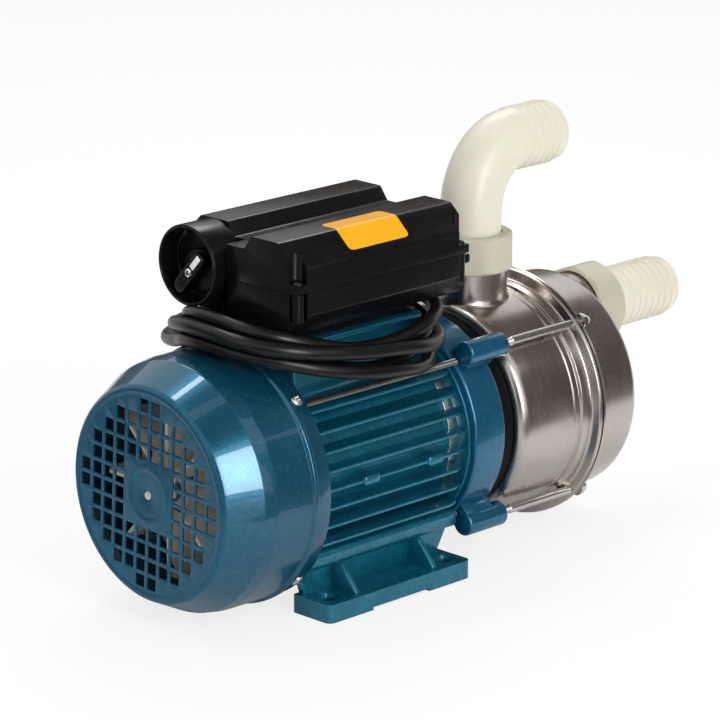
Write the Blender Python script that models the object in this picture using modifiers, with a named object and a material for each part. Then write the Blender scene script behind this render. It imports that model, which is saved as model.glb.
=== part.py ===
# Electric transfer pump: a foot-mounted fan-cooled motor with a close-coupled stainless pump.
# Every piece is built in the motor's own frame: x runs along the shaft from the fan grille
# towards the pump, z is height above the shaft axis. One empty places that frame on the floor.
import math

import bmesh
import bpy
from mathutils import Matrix, Vector

MM = 0.001

# Clearances
SEAT_GAP = 0.3 * MM
AIR_GAP = 0.6 * MM

# Facets round the turned pieces
FINE = 32
MEDIUM = 20
COARSE = 14
SMALL = 8

# Motor housing and feet
AXIS_HEIGHT = 73.0 * MM
COVER_RADIUS = 70.6 * MM
HOUSING_LENGTH = 123.0 * MM
STATOR_BORE = COVER_RADIUS - 25.6 * MM
HOUSING_WALL = 3.5 * MM
FIN_COUNT = 9
FIN_THICKNESS = 2.6 * MM
FIN_DRAFT = 0.4 * MM
TOP_FIN_HEIGHT = STATOR_BORE - 6.4 * MM
FIN_PITCH = (TOP_FIN_HEIGHT + STATOR_BORE) / (FIN_COUNT - 1)
FIN_TIP_HALF_WIDTH = COVER_RADIUS - 13.8 * MM
FIN_ENVELOPE_HALF_HEIGHT = COVER_RADIUS - 10.6 * MM
FIN_ENVELOPE_DROP = 4.0 * MM
FIN_ENVELOPE_POWER = 2.5
FIN_LUG_LENGTH = 9.0 * MM
FIN_LUG_HEIGHT = 3.6 * MM
FIN_LUG_INSET = 27.0 * MM
FIN_LUG_SPACING = 49.6 * MM
FIN_LUG_ROW = 4
PAD_START = 8.0 * MM
PAD_LENGTH = 98.0 * MM
PAD_HALF_WIDTH = 36.0 * MM
PAD_TOP = 76.7 * MM
PAD_FLANGE = 5.0 * MM
PAD_FLANGE_THICKNESS = 3.0 * MM
FOOT_START = 4.4 * MM
FOOT_LENGTH = 109.4 * MM
FOOT_HALF_SPAN = 67.2 * MM
FOOT_WIDTH = 37.0 * MM
FOOT_THICKNESS = 10.4 * MM
FOOT_CORNER = 4.0 * MM
FOOT_RELIEF = 1.6 * MM
FOOT_PAD_LENGTH = 33.0 * MM
FOOT_HOLE_ALONG = 90.0 * MM
FOOT_HOLE_ACROSS = 112.0 * MM
FOOT_HOLE_RADIUS = 3.5 * MM
WEB_THICKNESS = 5.0 * MM
WEB_INSET = 3.4 * MM
BOLT_CORNER_WALL = 2.2 * MM
BOLT_CORNER_INSET = 0.8 * MM
GUSSET_THICKNESS = 3.0 * MM
GUSSET_INSET = 25.0 * MM

# Fan cover
FAN_COVER_LENGTH = 66.0 * MM
COVER_OVERLAP = 2.0 * MM
COVER_SHEET = 1.2 * MM
COVER_FACE_RADIUS = COVER_RADIUS - 13.2 * MM
COVER_FACE_ROUND = 2.2 * MM
COVER_CONE_LENGTH = 18.3 * MM
COVER_BEAD_HEIGHT = 0.8 * MM
COVER_BEAD_WIDTH = 3.5 * MM
COVER_BAND = 9.0 * MM
GRILLE_ROWS_TO_EDGE = 6.4
GRILLE_PITCH = COVER_FACE_RADIUS / GRILLE_ROWS_TO_EDGE
GRILLE_BAR = 2.27 * MM
GRILLE_HOLE = GRILLE_PITCH - GRILLE_BAR
GRILLE_ROWS = 12
GRILLE_BLANK_ROWS = 4
GRILLE_REACH = 5.6
GRILLE_TURN = math.radians(3.3)
HUB_HOLE_RADIUS = 2.6 * MM

# Cooling fan
FAN_RADIUS = COVER_RADIUS - 19.6 * MM
FAN_LENGTH = 30.0 * MM
FAN_CLEARANCE = 12.0 * MM
FAN_BLADES = 8
FAN_BLADE_THICKNESS = 2.2 * MM
FAN_HUB_RADIUS = 13.0 * MM
FAN_PLATE = 2.4 * MM

# Shaft, bearings and windings
SHAFT_RADIUS = 7.0 * MM
REAR_BEARING = (7.5 * MM, 17.5 * MM, 11.0 * MM)
FRONT_BEARING = (8.5 * MM, 20.0 * MM, 12.0 * MM)
ROTOR_SHAFT_RADIUS = 11.0 * MM
ROTOR_RADIUS = STATOR_BORE - 13.2 * MM
CORE_LENGTH = 76.0 * MM
CORE_INSET = 22.0 * MM
WINDING_LENGTH = 15.0 * MM
WINDING_DEPTH = 9.5 * MM
STATOR_SLOTS = 18
SLOT_DEPTH = 7.0 * MM
SLOT_SHARE = 0.5
END_RING_LENGTH = 4.0 * MM
END_RING_INSET = 4.0 * MM

# Rear shield
REAR_SHIELD_THICKNESS = 7.0 * MM
SHIELD_RADIUS = COVER_RADIUS - 13.1 * MM
HUB_WALL = 4.5 * MM
LUG_WIDTH = 11.0 * MM
LUG_STEP = 0.5 * MM
COVER_SCREW_INSET = 3.8 * MM
MOTOR_BOLT_CIRCLE = COVER_RADIUS - 8.0 * MM
MOTOR_BOLT_RADIUS = 2.5 * MM
BOLT_HEAD_RADIUS = 4.6 * MM
BOLT_HEAD_HEIGHT = 3.6 * MM
BOLT_DEPTH = 12.0 * MM
COVER_SCREW_RADIUS = 1.8 * MM
COVER_SCREW_HEAD = 3.4 * MM
COVER_SCREW_HEAD_HEIGHT = 2.0 * MM
COVER_SCREW_LENGTH = 4.0 * MM

# Front shield
FRONT_SHIELD_LENGTH = 24.1 * MM
FRONT_RING_RADIUS = MOTOR_BOLT_CIRCLE - 1.2 * MM
FRONT_RING_WALL = 6.5 * MM
FRONT_WEB = 5.5 * MM
FRONT_EDGE_ROUND = 1.6 * MM
BOSS_CIRCLE = 69.5 * MM
BOSS_RADIUS = 7.0 * MM
BOSS_START = 2.0 * MM
BOSS_STANDOUT = 8.1 * MM

# Pump: backing disc, casing, gasket and front cover
BACKING_THICKNESS = 10.1 * MM
BACKING_RADIUS = 58.0 * MM
BACKING_BORE = 24.0 * MM
SHEET = 1.5 * MM
CASING_LENGTH = 56.5 * MM
CASING_RADIUS = 64.6 * MM
CASING_NECK_RADIUS = 63.2 * MM
CASING_BACK_RADIUS = 55.0 * MM
SHOULDER_LENGTH = 8.5 * MM
NECK_LENGTH = 3.5 * MM
SEAL_BORE = 14.3 * MM
LIP_RADIUS = 72.8 * MM
LIP_STEP_RADIUS = 66.2 * MM
LIP_STEP_LENGTH = 10.0 * MM
GASKET_THICKNESS = 2.4 * MM
FRONT_COVER_LENGTH = 36.7 * MM
FRONT_COVER_RADIUS = 64.0 * MM
FRONT_COVER_ROUND = 7.0 * MM
TIE_ROD_RADIUS = 2.6 * MM
TIE_ROD_NECK_RADIUS = 2.0 * MM
TIE_ROD_NECK = 8.0 * MM
TIE_ROD_DEPTH = 12.0 * MM
TIE_ROD_STANDOUT = 5.5 * MM
CAP_NUT_RADIUS = 4.6 * MM
CAP_NUT_LENGTH = 8.6 * MM

# Impeller, seal and diffuser
SEAL_SEAT_LENGTH = 5.0 * MM
SEAL_SEAT_BORE = 8.0 * MM
SEAL_RING_LENGTH = 4.8 * MM
SEAL_RING_RADIUS = 12.0 * MM
IMPELLER_RADIUS = 48.0 * MM
IMPELLER_HUB_RADIUS = 11.5 * MM
IMPELLER_HUB_LENGTH = 17.0 * MM
IMPELLER_SHROUD = 2.4 * MM
IMPELLER_BLADES = 6
IMPELLER_BLADE_HEIGHT = 8.0 * MM
IMPELLER_BLADE_THICKNESS = 2.4 * MM
IMPELLER_SWEEP = math.radians(70)
THREAD_RADIUS = 4.0 * MM
NUT_LENGTH = 6.5 * MM
NUT_RADIUS = 7.4 * MM
THREAD_STANDOUT = 2.0 * MM
DIFFUSER_THICKNESS = 2.8 * MM
DIFFUSER_EYE_RADIUS = 17.0 * MM
DIFFUSER_EYE_WALL = 3.0 * MM
DIFFUSER_REACH = 24.0 * MM

# Ports: threaded nipples, union nuts and hose tails
NIPPLE_RADIUS = 21.0 * MM
NIPPLE_BORE = 18.8 * MM
TOP_PORT_X = 24.0 * MM
TOP_NIPPLE_HEIGHT = 88.7 * MM
FRONT_PORT_HEIGHT = 38.5 * MM
FRONT_NIPPLE_LENGTH = 24.0 * MM
UNION_NUT_RADIUS = 25.6 * MM
UNION_NUT_LENGTH = 21.2 * MM
UNION_NUT_SIDES = 8
UNION_NUT_CHAMFER = 2.0 * MM
UNION_COLLAR = 7.2 * MM
UNION_THREAD_GAP = 0.6 * MM
TAIL_FLANGE = 4.0 * MM
TAIL_FLANGE_RADIUS = 20.6 * MM
TAIL_RADIUS = 17.5 * MM
TAIL_BORE = 14.0 * MM
BARB_HEIGHT = 1.0 * MM
BARB_PITCH = 5.6 * MM
FRONT_BARBS = 8
FRONT_TAIL_NECK = 16.0 * MM
ELBOW_BARBS = 5
ELBOW_HEIGHT = 148.6 * MM
ELBOW_BEND = 30.0 * MM
ELBOW_REACH = 64.0 * MM
ELBOW_STEPS = 6

# Terminal box
BOX_START = 60.5 * MM
BOX_LENGTH = 130.3 * MM
BOX_HALF_WIDTH = 51.4 * MM
BOX_BOTTOM = 83.3 * MM
BOX_CORNER_HEIGHT = 94.5 * MM
BOX_BOTTOM_HALF_WIDTH = 44.0 * MM
BOX_SEAM = 107.0 * MM
BOX_EAVES = 120.4 * MM
BOX_TOP = 133.2 * MM
HUMP_OUTER = 37.2 * MM
HUMP_INNER = 16.6 * MM
VALLEY_HALF_WIDTH = 11.0 * MM
VALLEY_DEPTH = 7.6 * MM
BOX_WALL = 2.5 * MM
BOX_STEP = 14.0 * MM
BOX_STEP_Y = 2.6 * MM
BOX_FOOT_INSET = 5.0 * MM
POST_RADIUS = 6.4 * MM
POST_INSET = 4.0 * MM
RECESS_RADIUS = 4.4 * MM
LID_FLOOR = 5.0 * MM
LID_SCREW_RADIUS = 1.8 * MM
LID_SCREW_HEAD = 3.4 * MM
LID_SCREW_HEAD_HEIGHT = 2.2 * MM
LID_SCREW_LENGTH = 14.0 * MM
END_TAB = (6.0 * MM, 9.0 * MM, 5.0 * MM)
CAPACITOR_RADIUS = 15.0 * MM
CAPACITOR_LENGTH = 70.0 * MM
CAPACITOR_Y = -27.0 * MM
TERMINAL_SIZE = (44.0 * MM, 18.0 * MM, 14.0 * MM)
TERMINAL_Y = 24.0 * MM

# Rotary switch
CUP_RADIUS = 22.4 * MM
CUP_WALL = 1.7 * MM
CUP_Y = 26.2 * MM
CUP_HEIGHT = 110.8 * MM
CUP_STANDOUT = 21.2 * MM
CUP_DEPTH = 12.5 * MM
SWITCH_LUG_WIDTH = 22.0 * MM
SWITCH_LUG_THICKNESS = 5.0 * MM
KNOB_DROP = 4.4 * MM
KNOB_RADIUS = 12.0 * MM
KNOB_PLATE = 3.2 * MM
LEVER_LENGTH = 30.0 * MM
LEVER_WIDTH = 8.4 * MM
LEVER_HEIGHT = 8.0 * MM
LEVER_TURN = math.radians(42)
POINTER_SIZE = (9.0 * MM, 2.6 * MM, 1.0 * MM)
POINTER_REACH = 9.0 * MM
KNOB_SCREW_RADIUS = 1.3 * MM
KNOB_SCREW_HEAD = 2.5 * MM
KNOB_SCREW_HEAD_HEIGHT = 0.9 * MM
KNOB_SCREW_LENGTH = 7.0 * MM

# Power cord
CORD_RADIUS = 4.0 * MM
GLAND_RADIUS = 7.0 * MM
GLAND_COLLAR = 6.0 * MM
GLAND_LENGTH = 22.0 * MM
GLAND_WALL = 1.2 * MM
GLAND_Y = 25.0 * MM
GLAND_HEIGHT = 97.0 * MM
LEAD_START = 5.0 * MM
LEAD_LOOP = 34.0 * MM
LEAD_ANGLES = (-60, -25, 10, 45, 80, 110)
LEAD_MEETS = 80.0
CORD_NESTLE = 0.3 * MM
TAIL_LEAVES = 70.0
TAIL_BEND = 32.0 * MM
COIL_START = 30.0 * MM
COIL_MIDDLE = 119.0 * MM
COIL_END = 184.0 * MM
COIL_HALF_WIDTH = 60.0 * MM
COIL_SQUARENESS = 2.8
# height, half height and half thickness of the bundle at every eighth of a turn from the +X end
COIL_HEIGHTS = (68.5, 66.0, 65.0, 73.0, 82.6, 76.8, 64.0, 64.5)
COIL_HALF_HEIGHTS = (13.6, 12.0, 12.0, 11.0, 11.2, 9.2, 12.0, 16.6)
COIL_HALF_THICKNESSES = (6.0, 7.0, 10.0, 10.0, 10.0, 11.5, 10.0, 6.8)
COIL_LEAN = 3.0 * MM
COIL_STATIONS = 32
COIL_SIDES = 8
PLUG_RADIUS = 18.5 * MM
PLUG_BODY = 34.0 * MM
PLUG_NECK = 18.0 * MM
PLUG_NECK_RADIUS = 6.5 * MM
PIN_RADIUS = 2.4 * MM
PIN_LENGTH = 19.0 * MM
PIN_SPACING = 19.0 * MM

# Stations along the shaft, each from the piece before it
HOUSING_X = FAN_COVER_LENGTH - COVER_OVERLAP
HOUSING_END = HOUSING_X + HOUSING_LENGTH
FRONT_SHIELD_X = HOUSING_END + SEAT_GAP
FRONT_SHIELD_END = FRONT_SHIELD_X + FRONT_SHIELD_LENGTH
BACKING_X = FRONT_SHIELD_END + SEAT_GAP
BACKING_END = BACKING_X + BACKING_THICKNESS
CASING_X = BACKING_END + SEAT_GAP
CASING_END = CASING_X + CASING_LENGTH
GASKET_X = CASING_END + SEAT_GAP
GASKET_END = GASKET_X + GASKET_THICKNESS
FRONT_COVER_X = GASKET_END + SEAT_GAP
FRONT_COVER_END = FRONT_COVER_X + FRONT_COVER_LENGTH
FRONT_NIPPLE_END = FRONT_COVER_END + FRONT_NIPPLE_LENGTH
FRONT_TAIL_X = FRONT_NIPPLE_END + SEAT_GAP
FRONT_TAIL_END = FRONT_TAIL_X + TAIL_FLANGE + FRONT_TAIL_NECK + (FRONT_BARBS + 0.5) * BARB_PITCH
OVERALL_LENGTH = FRONT_TAIL_END
REAR_SHIELD_END = HOUSING_X - SEAT_GAP
REAR_SHIELD_X = REAR_SHIELD_END - REAR_SHIELD_THICKNESS
REAR_BEARING_X = REAR_SHIELD_END - SEAT_GAP - REAR_BEARING[2]
FRONT_BEARING_X = FRONT_SHIELD_X + BOSS_START
FRONT_BEARING_END = FRONT_BEARING_X + FRONT_BEARING[2]
CORE_X = HOUSING_X + CORE_INSET
CORE_END = CORE_X + CORE_LENGTH
SEAL_SEAT_END = CASING_X + SHEET + SEAT_GAP
SEAL_RING_X = SEAL_SEAT_END + SEAT_GAP
IMPELLER_X = SEAL_RING_X + SEAL_RING_LENGTH + SEAT_GAP
IMPELLER_END = IMPELLER_X + IMPELLER_HUB_LENGTH
IMPELLER_NUT_X = IMPELLER_END + SEAT_GAP
SHAFT_END = IMPELLER_NUT_X + NUT_LENGTH + THREAD_STANDOUT
TOP_PORT_STATION = CASING_X + TOP_PORT_X
BOX_END = BOX_START + BOX_LENGTH
BOX_FACE = BOX_START + BOX_STEP
PAD_X = HOUSING_X + PAD_START
FOOT_X = HOUSING_X + FOOT_START
KNOB_HEIGHT = CUP_HEIGHT - KNOB_DROP
CUP_X = BOX_FACE - SEAT_GAP - CUP_STANDOUT
CUP_FLOOR = CUP_X + CUP_DEPTH

# Turns a profile drawn along z so that it lies along the shaft
ALONG_SHAFT = (0.0, math.pi / 2, 0.0)
DIAGONALS = [math.radians(45 + 90 * k) for k in range(4)]


# Scene, collections and materials
def clear_scene():
    for old in list(bpy.data.objects):
        bpy.data.objects.remove(old, do_unlink=True)


def new_collection(name):
    collection = bpy.data.collections.new(name)
    bpy.context.scene.collection.children.link(collection)
    return collection


def make_material(name, color, roughness, metallic=0.0):
    material = bpy.data.materials.new(name)
    material.use_nodes = True
    shader = material.node_tree.nodes["Principled BSDF"]
    shader.inputs["Base Color"].default_value = (*color, 1.0)
    shader.inputs["Roughness"].default_value = roughness
    shader.inputs["Metallic"].default_value = metallic
    material.diffuse_color = (*color, 1.0)
    return material


clear_scene()
PARTS = new_collection("electric_transfer_pump")
CUTTERS = new_collection("pump_cutters")
FRAME = bpy.data.objects.new("pump_frame", None)
PARTS.objects.link(FRAME)
FRAME.location = (-OVERALL_LENGTH / 2, 0.0, AXIS_HEIGHT)

PAINT = make_material("teal_paint", (0.010, 0.105, 0.165), 0.3, 0.4)
ALUMINIUM = make_material("cast_aluminium", (0.55, 0.55, 0.56), 0.45, 1.0)
STEEL = make_material("zinc_steel", (0.62, 0.61, 0.58), 0.35, 1.0)
STAINLESS = make_material("stainless_sheet", (0.60, 0.57, 0.53), 0.22, 1.0)
BLACK_PLASTIC = make_material("black_plastic", (0.012, 0.012, 0.013), 0.35)
RUBBER = make_material("black_rubber", (0.015, 0.015, 0.015), 0.7)
NYLON = make_material("natural_nylon", (0.74, 0.72, 0.60), 0.4)
COPPER = make_material("enamelled_copper", (0.42, 0.13, 0.05), 0.4, 1.0)
LAMINATION = make_material("core_steel", (0.18, 0.18, 0.19), 0.5, 1.0)
CERAMIC = make_material("seal_ceramic", (0.80, 0.79, 0.76), 0.3)
CAPACITOR_SHELL = make_material("capacitor_shell", (0.72, 0.72, 0.70), 0.4)
WHITE_INSERT = make_material("white_insert", (0.82, 0.82, 0.80), 0.4)


# Basic builders
def add_object(name, mesh, material=None, cutter=False):
    obj = bpy.data.objects.new(name, mesh)
    if cutter:
        CUTTERS.objects.link(obj)
        obj.hide_render = True
        obj.display_type = "WIRE"
    else:
        PARTS.objects.link(obj)
        mesh.materials.append(material)
    obj.parent = FRAME
    return obj


def place(obj, location, rotation=(0.0, 0.0, 0.0)):
    obj.location = location
    obj.rotation_euler = rotation
    return obj


def mesh_from(build, name):
    work = bmesh.new()
    build(work)
    mesh = bpy.data.meshes.new(name)
    work.to_mesh(mesh)
    work.free()
    return mesh


def box(name, size, center, material=None, cutter=False, rotation=(0.0, 0.0, 0.0)):
    def build(work):
        bmesh.ops.create_cube(work, size=1.0)
        bmesh.ops.scale(work, vec=Vector(size), verts=work.verts)

    return place(add_object(name, mesh_from(build, name), material, cutter), center, rotation)


def span_box(name, low, high, material=None, cutter=False):
    size = [b - a for a, b in zip(low, high)]
    center = [(a + b) / 2 for a, b in zip(low, high)]
    return box(name, size, center, material, cutter)


def cylinder(name, radius, length, base, rotation=ALONG_SHAFT, sides=SMALL, material=None, cutter=False):
    def build(work):
        bmesh.ops.create_cone(work, cap_ends=True, segments=sides, radius1=radius, radius2=radius,
                              depth=length)
        bmesh.ops.translate(work, vec=(0.0, 0.0, length / 2), verts=work.verts)

    return place(add_object(name, mesh_from(build, name), material, cutter), base, rotation)


def turned(name, profile, material=None, sides=MEDIUM, closed=True, base=(0.0, 0.0, 0.0),
           rotation=ALONG_SHAFT, cutter=False):
    # profile holds (station, radius) pairs that run down the outer side first
    points = [(radius, 0.0, station) for station, radius in profile]
    edges = [(k, k + 1) for k in range(len(points) - 1)]
    if closed and profile[0][1] > 0.0:
        edges.append((len(points) - 1, 0))
    mesh = bpy.data.meshes.new(name)
    mesh.from_pydata(points, edges, [])
    obj = place(add_object(name, mesh, material, cutter), base, rotation)
    screw = obj.modifiers.new("turn", "SCREW")
    screw.axis = "Z"
    screw.angle = 2 * math.pi
    screw.steps = sides
    screw.render_steps = sides
    screw.use_merge_vertices = True
    screw.merge_threshold = 0.00001
    return obj


def extruded(name, outline, length, base, material=None, cutter=False, holes=(), rotation=None):
    # a flat outline of (y, z) pairs, drawn out along the shaft from base
    curve = bpy.data.curves.new(name, "CURVE")
    curve.dimensions = "2D"
    curve.fill_mode = "BOTH"
    curve.extrude = length / 2
    for ring in (outline, *holes):
        spline = curve.splines.new("POLY")
        spline.points.add(len(ring) - 1)
        for point, (y, z) in zip(spline.points, ring):
            point.co = (y, z, 0.0, 1.0)
        spline.use_cyclic_u = True
    # curve x becomes y, curve y becomes z and curve z becomes x
    upright = Matrix(((0, 0, 1), (1, 0, 0), (0, 1, 0))).to_euler()
    middle = (base[0] + length / 2, base[1], base[2])
    return as_mesh(name, curve, middle, rotation or upright, material, cutter)


def as_mesh(name, curve, location, rotation, material=None, cutter=False):
    guide = bpy.data.objects.new(name + "_guide", curve)
    bpy.context.scene.collection.objects.link(guide)
    bpy.context.view_layer.update()
    evaluated = guide.evaluated_get(bpy.context.evaluated_depsgraph_get())
    mesh = bpy.data.meshes.new_from_object(evaluated)
    bpy.data.objects.remove(guide, do_unlink=True)
    weld(mesh)
    mesh.name = name
    return place(add_object(name, mesh, material, cutter), location, rotation)


def weld(mesh):
    work = bmesh.new()
    work.from_mesh(mesh)
    bmesh.ops.remove_doubles(work, verts=work.verts, dist=0.000005)
    bmesh.ops.recalc_face_normals(work, faces=work.faces)
    work.to_mesh(mesh)
    work.free()


def tube(name, points, radius, material=None, resolution=3, cutter=False):
    curve = bpy.data.curves.new(name, "CURVE")
    curve.dimensions = "3D"
    curve.bevel_depth = radius
    curve.bevel_resolution = resolution
    curve.use_fill_caps = True
    spline = curve.splines.new("POLY")
    spline.points.add(len(points) - 1)
    for point, place_at in zip(spline.points, points):
        point.co = (*place_at, 1.0)
    return as_mesh(name, curve, (0.0, 0.0, 0.0), (0.0, 0.0, 0.0), material, cutter)


def combine(obj, other, operation):
    step = obj.modifiers.new(operation.lower(), "BOOLEAN")
    step.operation = operation
    step.solver = "EXACT"
    step.object = other
    return obj


def cut(obj, *others):
    for other in others:
        combine(obj, other, "DIFFERENCE")
    return obj


def join(obj, *others):
    for other in others:
        combine(obj, other, "UNION")
    return obj


def thicken(obj, wall):
    shell = obj.modifiers.new("sheet", "SOLIDIFY")
    shell.thickness = wall
    shell.offset = -1.0
    shell.use_even_offset = True
    return obj


def settle(obj, angle=30.0):
    # keeps the evaluated shape, drops needless edges inside flat faces and shades round faces smooth
    bpy.context.view_layer.update()
    evaluated = obj.evaluated_get(bpy.context.evaluated_depsgraph_get())
    mesh = bpy.data.meshes.new_from_object(evaluated)
    work = bmesh.new()
    work.from_mesh(mesh)
    bmesh.ops.remove_doubles(work, verts=work.verts, dist=0.000002)
    bmesh.ops.dissolve_limit(work, angle_limit=math.radians(0.2), verts=work.verts, edges=work.edges)
    work.to_mesh(mesh)
    work.free()
    mesh.name = obj.name
    obj.modifiers.clear()
    obj.data = mesh
    mesh.shade_smooth()
    mesh.set_sharp_from_angle(angle=math.radians(angle))
    return obj


def ring_point(radius, angle, x=0.0):
    return (x, radius * math.cos(angle), radius * math.sin(angle))


def circle(radius, sides, start=0.0):
    turn = 2 * math.pi / sides
    return [(radius * math.cos(start + turn * k), radius * math.sin(start + turn * k))
            for k in range(sides)]


def arc(center, radius, first, last, steps):
    angles = [first + (last - first) * k / steps for k in range(steps + 1)]
    return [(center[0] + radius * math.sin(a), center[1] + radius * math.cos(a)) for a in angles]


# Motor housing: finned tube, box pad and two feet
def fin_tip(height):
    share = abs(height + FIN_ENVELOPE_DROP) / FIN_ENVELOPE_HALF_HEIGHT
    return FIN_TIP_HALF_WIDTH * (1.0 - share ** FIN_ENVELOPE_POWER) ** (1.0 / FIN_ENVELOPE_POWER)


def housing_section():
    tube_radius = STATOR_BORE + HOUSING_WALL
    side = []
    for k in range(FIN_COUNT):
        middle = TOP_FIN_HEIGHT - FIN_PITCH * k
        for up in (1, -1):
            tip = (fin_tip(middle), middle + up * FIN_THICKNESS / 2)
            height = tip[1] + up * FIN_DRAFT
            root = (math.sqrt(tube_radius ** 2 - height ** 2), height)
            side += [root, tip] if up > 0 else [tip, root]
    mirrored = [(-y, z) for y, z in reversed(side)]
    return side + [(0.0, -tube_radius)] + mirrored + [(0.0, tube_radius)]


def make_foot(side):
    outer = side * FOOT_HALF_SPAN
    inner = side * (FOOT_HALF_SPAN - FOOT_WIDTH)
    floor = -AXIS_HEIGHT
    middle = (FOOT_X + FOOT_LENGTH / 2, (outer + inner) / 2, floor + FOOT_THICKNESS / 2)
    plate = box("foot_plate", (FOOT_LENGTH, FOOT_WIDTH, FOOT_THICKNESS), middle, cutter=True)
    corners = plate.modifiers.new("corners", "BEVEL")
    corners.width = FOOT_CORNER
    corners.segments = 3
    corners.limit_method = "WEIGHT"
    weight = plate.data.attributes.new("bevel_weight_edge", "FLOAT", "EDGE")
    for edge in plate.data.edges:
        low, high = (plate.data.vertices[v].co for v in edge.vertices)
        upright = abs(low.z - high.z) > FOOT_THICKNESS / 2
        weight.data[edge.index].value = float(upright and low.y * side > 0)
    relief = box("foot_relief", (FOOT_LENGTH - 2 * FOOT_PAD_LENGTH, FOOT_WIDTH * 2, FOOT_RELIEF * 2),
                 (middle[0], middle[1], floor), cutter=True)
    cut(plate, relief)
    for along in (-1, 1):
        spot = (middle[0] + along * FOOT_HOLE_ALONG / 2, side * FOOT_HOLE_ACROSS / 2, floor - FOOT_THICKNESS)
        cut(plate, cylinder("foot_hole", FOOT_HOLE_RADIUS, 3 * FOOT_THICKNESS, spot, (0, 0, 0), 16, cutter=True))
    return plate


def foot_web_y(side):
    return side * (FOOT_HALF_SPAN - FOOT_WIDTH + WEB_THICKNESS)


def make_web(side):
    # sloping-ended wall between the foot plate and the tube
    top = -STATOR_BORE * 0.8
    bend = -STATOR_BORE - HOUSING_WALL
    bottom = -AXIS_HEIGHT + FOOT_THICKNESS - FOOT_RELIEF
    start = HOUSING_X + WEB_INSET
    end = HOUSING_END - WEB_INSET
    outline = [(start, top), (start, bend), (FOOT_X + FOOT_CORNER, bottom),
               (FOOT_X + FOOT_LENGTH - FOOT_CORNER, bottom), (end, bend), (end, top)]
    return side_plate("foot_web", outline, WEB_THICKNESS, foot_web_y(side))


def make_bolt_corner(side):
    # solid corner under the last fin, round the lower through bolt
    middle = MOTOR_BOLT_CIRCLE * math.sqrt(0.5)
    half = MOTOR_BOLT_RADIUS + SEAT_GAP + BOLT_CORNER_WALL
    inner, outer = sorted((side * (middle + half), side * foot_web_y(1)))
    low = (FAN_COVER_LENGTH + AIR_GAP, inner, -middle - half)
    high = (HOUSING_END - BOLT_CORNER_INSET, outer, -middle + half)
    return span_box("bolt_corner", low, high, cutter=True)


def side_plate(name, outline, width, middle):
    # an outline of (x, z) pairs given a width across the motor
    curve = bpy.data.curves.new(name, "CURVE")
    curve.dimensions = "2D"
    curve.fill_mode = "BOTH"
    curve.extrude = width / 2
    spline = curve.splines.new("POLY")
    spline.points.add(len(outline) - 1)
    for point, (x, z) in zip(spline.points, outline):
        point.co = (x, z, 0.0, 1.0)
    spline.use_cyclic_u = True
    return as_mesh(name, curve, (0.0, middle, 0.0), (math.pi / 2, 0.0, 0.0), cutter=True)


def make_gusset(side, station):
    wall = foot_web_y(side)
    top = -MOTOR_BOLT_CIRCLE * math.sqrt(0.5)
    bottom = -AXIS_HEIGHT + FOOT_THICKNESS - FOOT_RELIEF
    toe = side * (FOOT_HALF_SPAN - FOOT_CORNER)
    outline = [(wall, top), (wall, bottom), (toe, bottom)]
    return extruded("foot_gusset", outline, GUSSET_THICKNESS, (station, 0, 0), cutter=True)


def make_motor_housing():
    housing = extruded("motor_housing", housing_section(), HOUSING_LENGTH, (HOUSING_X, 0, 0), PAINT)
    pad_low = (PAD_X, -PAD_HALF_WIDTH, STATOR_BORE)
    pad_high = (PAD_X + PAD_LENGTH, PAD_HALF_WIDTH, PAD_TOP - SEAT_GAP)
    join(housing, span_box("box_pad", pad_low, pad_high, cutter=True))
    rim_low = (PAD_X + PAD_FLANGE, -PAD_HALF_WIDTH - PAD_FLANGE, PAD_TOP - PAD_FLANGE_THICKNESS)
    rim_high = (PAD_X + PAD_LENGTH - PAD_FLANGE, PAD_HALF_WIDTH + PAD_FLANGE, PAD_TOP)
    join(housing, span_box("box_pad_rim", rim_low, rim_high, cutter=True))
    for side in (-1, 1):
        join(housing, make_foot(side), make_web(side), make_bolt_corner(side))
        for station in (FOOT_X + GUSSET_INSET, FOOT_X + FOOT_LENGTH - GUSSET_INSET):
            join(housing, make_gusset(side, station - GUSSET_THICKNESS / 2))
    lug_height = TOP_FIN_HEIGHT - FIN_PITCH * FIN_LUG_ROW
    for station in (HOUSING_END - FIN_LUG_INSET, HOUSING_END - FIN_LUG_INSET - FIN_LUG_SPACING):
        tip = fin_tip(lug_height)
        for side in (-1, 1):
            lug = box("fin_lug", (FIN_LUG_LENGTH, FIN_LUG_HEIGHT, FIN_LUG_HEIGHT + FIN_THICKNESS),
                      (station, side * (tip - FIN_LUG_HEIGHT / 3), lug_height), cutter=True)
            join(housing, lug)
    bore = cylinder("stator_bore", STATOR_BORE, HOUSING_LENGTH * 2, (HOUSING_X - HOUSING_LENGTH / 2, 0, 0),
                    sides=FINE, cutter=True)
    cut(housing, bore)
    for angle in DIAGONALS:
        hole = cylinder("bolt_way", MOTOR_BOLT_RADIUS + SEAT_GAP, HOUSING_LENGTH * 2,
                        ring_point(MOTOR_BOLT_CIRCLE, angle, HOUSING_X - HOUSING_LENGTH / 2), cutter=True)
        cut(housing, hole)
    settle(housing)


# Stator and its windings
def make_stator_core():
    bore = ROTOR_RADIUS + AIR_GAP
    slots = []
    turn = 2 * math.pi / STATOR_SLOTS
    for k in range(STATOR_SLOTS):
        for share, radius in ((-1, bore), (-1, bore + SLOT_DEPTH), (1, bore + SLOT_DEPTH), (1, bore)):
            angle = turn * (k + 0.5 * SLOT_SHARE * share)
            slots.append((radius * math.cos(angle), radius * math.sin(angle)))
    core = extruded("stator_core", circle(STATOR_BORE - SEAT_GAP, FINE), CORE_LENGTH, (CORE_X, 0, 0),
                    LAMINATION, holes=[slots])
    settle(core)


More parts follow.
